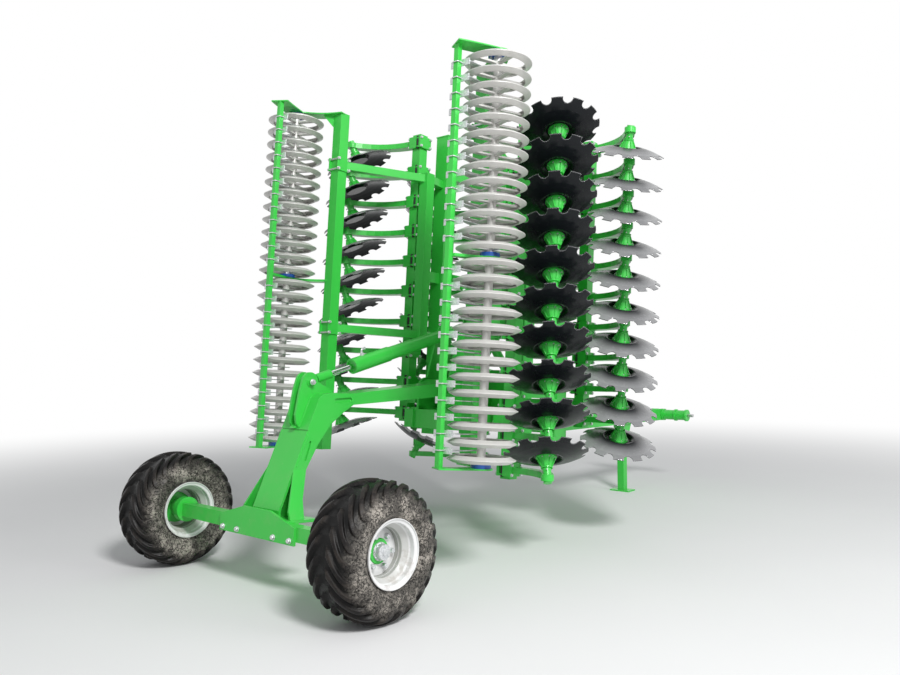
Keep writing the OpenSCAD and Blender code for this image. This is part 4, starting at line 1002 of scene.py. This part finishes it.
# %% Lay the beads
RIPPLE, RIPPLE_L, BEAD_STEP = 0.14, 7.0, 3.5
CROSS_UP, CROSS_HALF, MAIN_Y = (1063.0, 2113.0, 3163.0), 60.0, 500.0
ARM_HALF, SEAM_UP, SPLIT_UP = 150.0, 676.0, 400.0


def bead(corners, r=5.0):
    """The line through the corners in equal steps; radius = r times 1 + 0.14 sine of the length over 7 mm."""
    corners = np.asarray(corners, float)
    lengths = np.append(0.0, np.cumsum(np.linalg.norm(np.diff(corners, axis=0), axis=1)))
    at = np.linspace(0, lengths[-1], int(lengths[-1] / BEAD_STEP) + 2)
    path = np.stack([np.interp(at, lengths, corners[:, i]) for i in range(3)], -1)
    return wire(path, r * (1 + RIPPLE * np.sin(at * 2 * np.pi / RIPPLE_L)), 6)


square = np.array([(-1, -1), (1, -1), (1, 1), (-1, 1), (-1, -1)]) * CROSS_HALF
for name, s in SIDES.items():
    beads = [bead([(x, s * MAIN_Y + a, up + b) for a, b in square])
             for up in CROSS_UP for x in (MAIN_X[0] + MAIN_HALF, MAIN_X[1] - MAIN_HALF)]
    piece("weld_beads_" + name, join(beads), green, "wing_" + name, smooth=True)
seam_ends = (SPLIT_UP + 20, SEAM_UP - 6)
rear_x = np.interp(seam_ends, [120.0, SEAM_UP], [10.0, 221.0]) + 20
seams = []
for s in (-1, 1):
    seams.append(bead([(x, s * (ARM_HALF + 0.5), up) for x, up in zip(rear_x, seam_ends)], 4.0))
    seams.append(bead([(229, s * 48, 700), (316, s * 48, 915)], 4.5))
    seams.append(bead([(-50, s * 300, 71), (-50, s * 20, 71)]))
piece("weld_beads_arm", join(seams), green, "axle_arm", smooth=True)
print("weld beads", made["weld_beads_right"], made["weld_beads_arm"])

# %% [markdown]
# ## Oil ports of the lift cylinder
# The barrel has a welded port near each end, with a steel elbow screwed into it. An elbow is a short tube
# along a quarter turn, with a nut at its foot and one at its mouth.

# %% Screw the elbows into the barrel
BARREL_R, BARREL_THICK_R, BARREL_L, PORT_BACK = 55.0, 61.0, 1262.0, 130.0
BEND_R, BEND_UP, TUBE_R = 14, 22, 8.0

way = unit(LIFT_EYE - LIFT_PIN)
rise = np.array([way[2], 0.0, -way[0]])
quarter = np.linspace(0, np.pi / 2, 7)
bend = np.column_stack([BEND_R * np.cos(quarter) - BEND_R, 0 * quarter, BEND_UP + BEND_R * np.sin(quarter)])
elbow = wire(np.vstack([[[0, 0, 0]], bend, [[-34, 0, BEND_UP + BEND_R]]]), TUBE_R, 12)
port = join([revolve([(17, -6), (17, 10), (14, 13)], 24),
             moved(elbow, (0, 0, 10)),
             moved(hex_bolt(24, 10), (0, 0, 13)),
             copies(hex_bolt(22, 16), [[-26, 0, 10 + BEND_UP + BEND_R]], (-1, 0, 0), (0, 1, 0.02))])
ports = [copies(port, LIFT_PIN + way * (BARREL_L - PORT_BACK) + rise * BARREL_THICK_R, rise, way),
         copies(port, LIFT_PIN + way * PORT_BACK + rise * BARREL_R, rise, -way)]
piece("lift_ports", join(ports), zinc, "lift_barrel")
print("ports", made["lift_ports"], "pieces", len(made), "triangles", sum(made.values()))

# %% [markdown]
# ## Floor, light and background
# The floor and backdrop are pale and plain. Near the machine the floor is an ordinary matt surface, so it
# keeps the shadow. Farther out a Light Path node turns it white to the camera and in reflections, and it runs
# into the white world without a horizon. The machine itself is lit at a plain level, at which a colour
# renders as written.

# %% Lay the floor and light the studio
FLOOR_HALF, FLOOR_MIDDLE = 60.0, 0.5
WHITE, SKY, SKY_POWER = (1.0, 1.0, 1.0, 1.0), (0.96, 0.98, 1.0, 1.0), 0.40


def seen(graph):
    """1 for the camera and for what gloss and glass show, and 0 for the light that falls on the machine."""
    path = graph.node("ShaderNodeLightPath")
    return path["Is Camera Ray"].most(path["Is Glossy Ray"]).most(path["Is Transmission Ray"])


def pale_floor():
    """Matt near the machine; white to the eye and to reflections farther out, by the distance."""
    paint = Paint("pale_floor")
    x, y, _ = paint.split()
    far = ((x + FLOOR_MIDDLE) * (x + FLOOR_MIDDLE) + y * y) ** 0.5
    tint = paint.mix(paint.noise(0.6, 2.0), (0.82, 0.82, 0.82), (0.86, 0.86, 0.86))
    matt = paint.node("ShaderNodeBsdfDiffuse", {"Color": tint})
    white = paint.node("ShaderNodeEmission", {"Color": WHITE, "Strength": 1.0})
    both = paint.node("ShaderNodeMixShader", [seen(paint) * far.step(4.0, 13.0), matt[0], white[0]])
    paint.node("ShaderNodeOutputMaterial", {"Surface": both[0]})
    return paint.material


def softbox(name, place, aim, width, power):
    """A square area lamp that looks from its place to a point."""
    lamp = bpy.data.lights.new(name, "AREA")
    lamp.energy, lamp.size = power, width
    obj = bpy.data.objects.new(name, lamp)
    way = Vector(aim) - Vector(place)
    obj.matrix_world = Matrix.Translation(place) @ way.to_track_quat("-Z", "Y").to_matrix().to_4x4()
    scene.collection.objects.link(obj)


floor_mesh = bpy.data.meshes.new("floor")
corners = [(x * FLOOR_HALF, y * FLOOR_HALF, 0) for x, y in ((-1, -1), (1, -1), (1, 1), (-1, 1))]
floor_mesh.from_pydata(corners, [], [(0, 1, 2, 3)])
floor_mesh.materials.append(pale_floor())
floor = bpy.data.objects.new("floor", floor_mesh)
scene.collection.objects.link(floor)

world = bpy.data.worlds.new("studio")
scene.world = world
world.use_nodes = True
sky = Graph(world.node_tree)
daylight = sky.node("ShaderNodeBackground", {"Color": SKY, "Strength": SKY_POWER})
backdrop = sky.node("ShaderNodeBackground", {"Color": WHITE, "Strength": 1.0})
both = sky.node("ShaderNodeMixShader", [seen(sky), daylight[0], backdrop[0]])
sky.node("ShaderNodeOutputWorld", {"Surface": both[0]})

softbox("key", (-6.0, -9.5, 9.5), (-1.0, 0, 1.6), 2.6, 1300)
softbox("fill", (2.0, -12.0, 6.0), (0, 0, 1.6), 6.0, 260)
scene.view_settings.view_transform = "Standard"
print("lamps", len(bpy.data.lights), "world nodes", len(world.node_tree.nodes))

# %% [markdown]
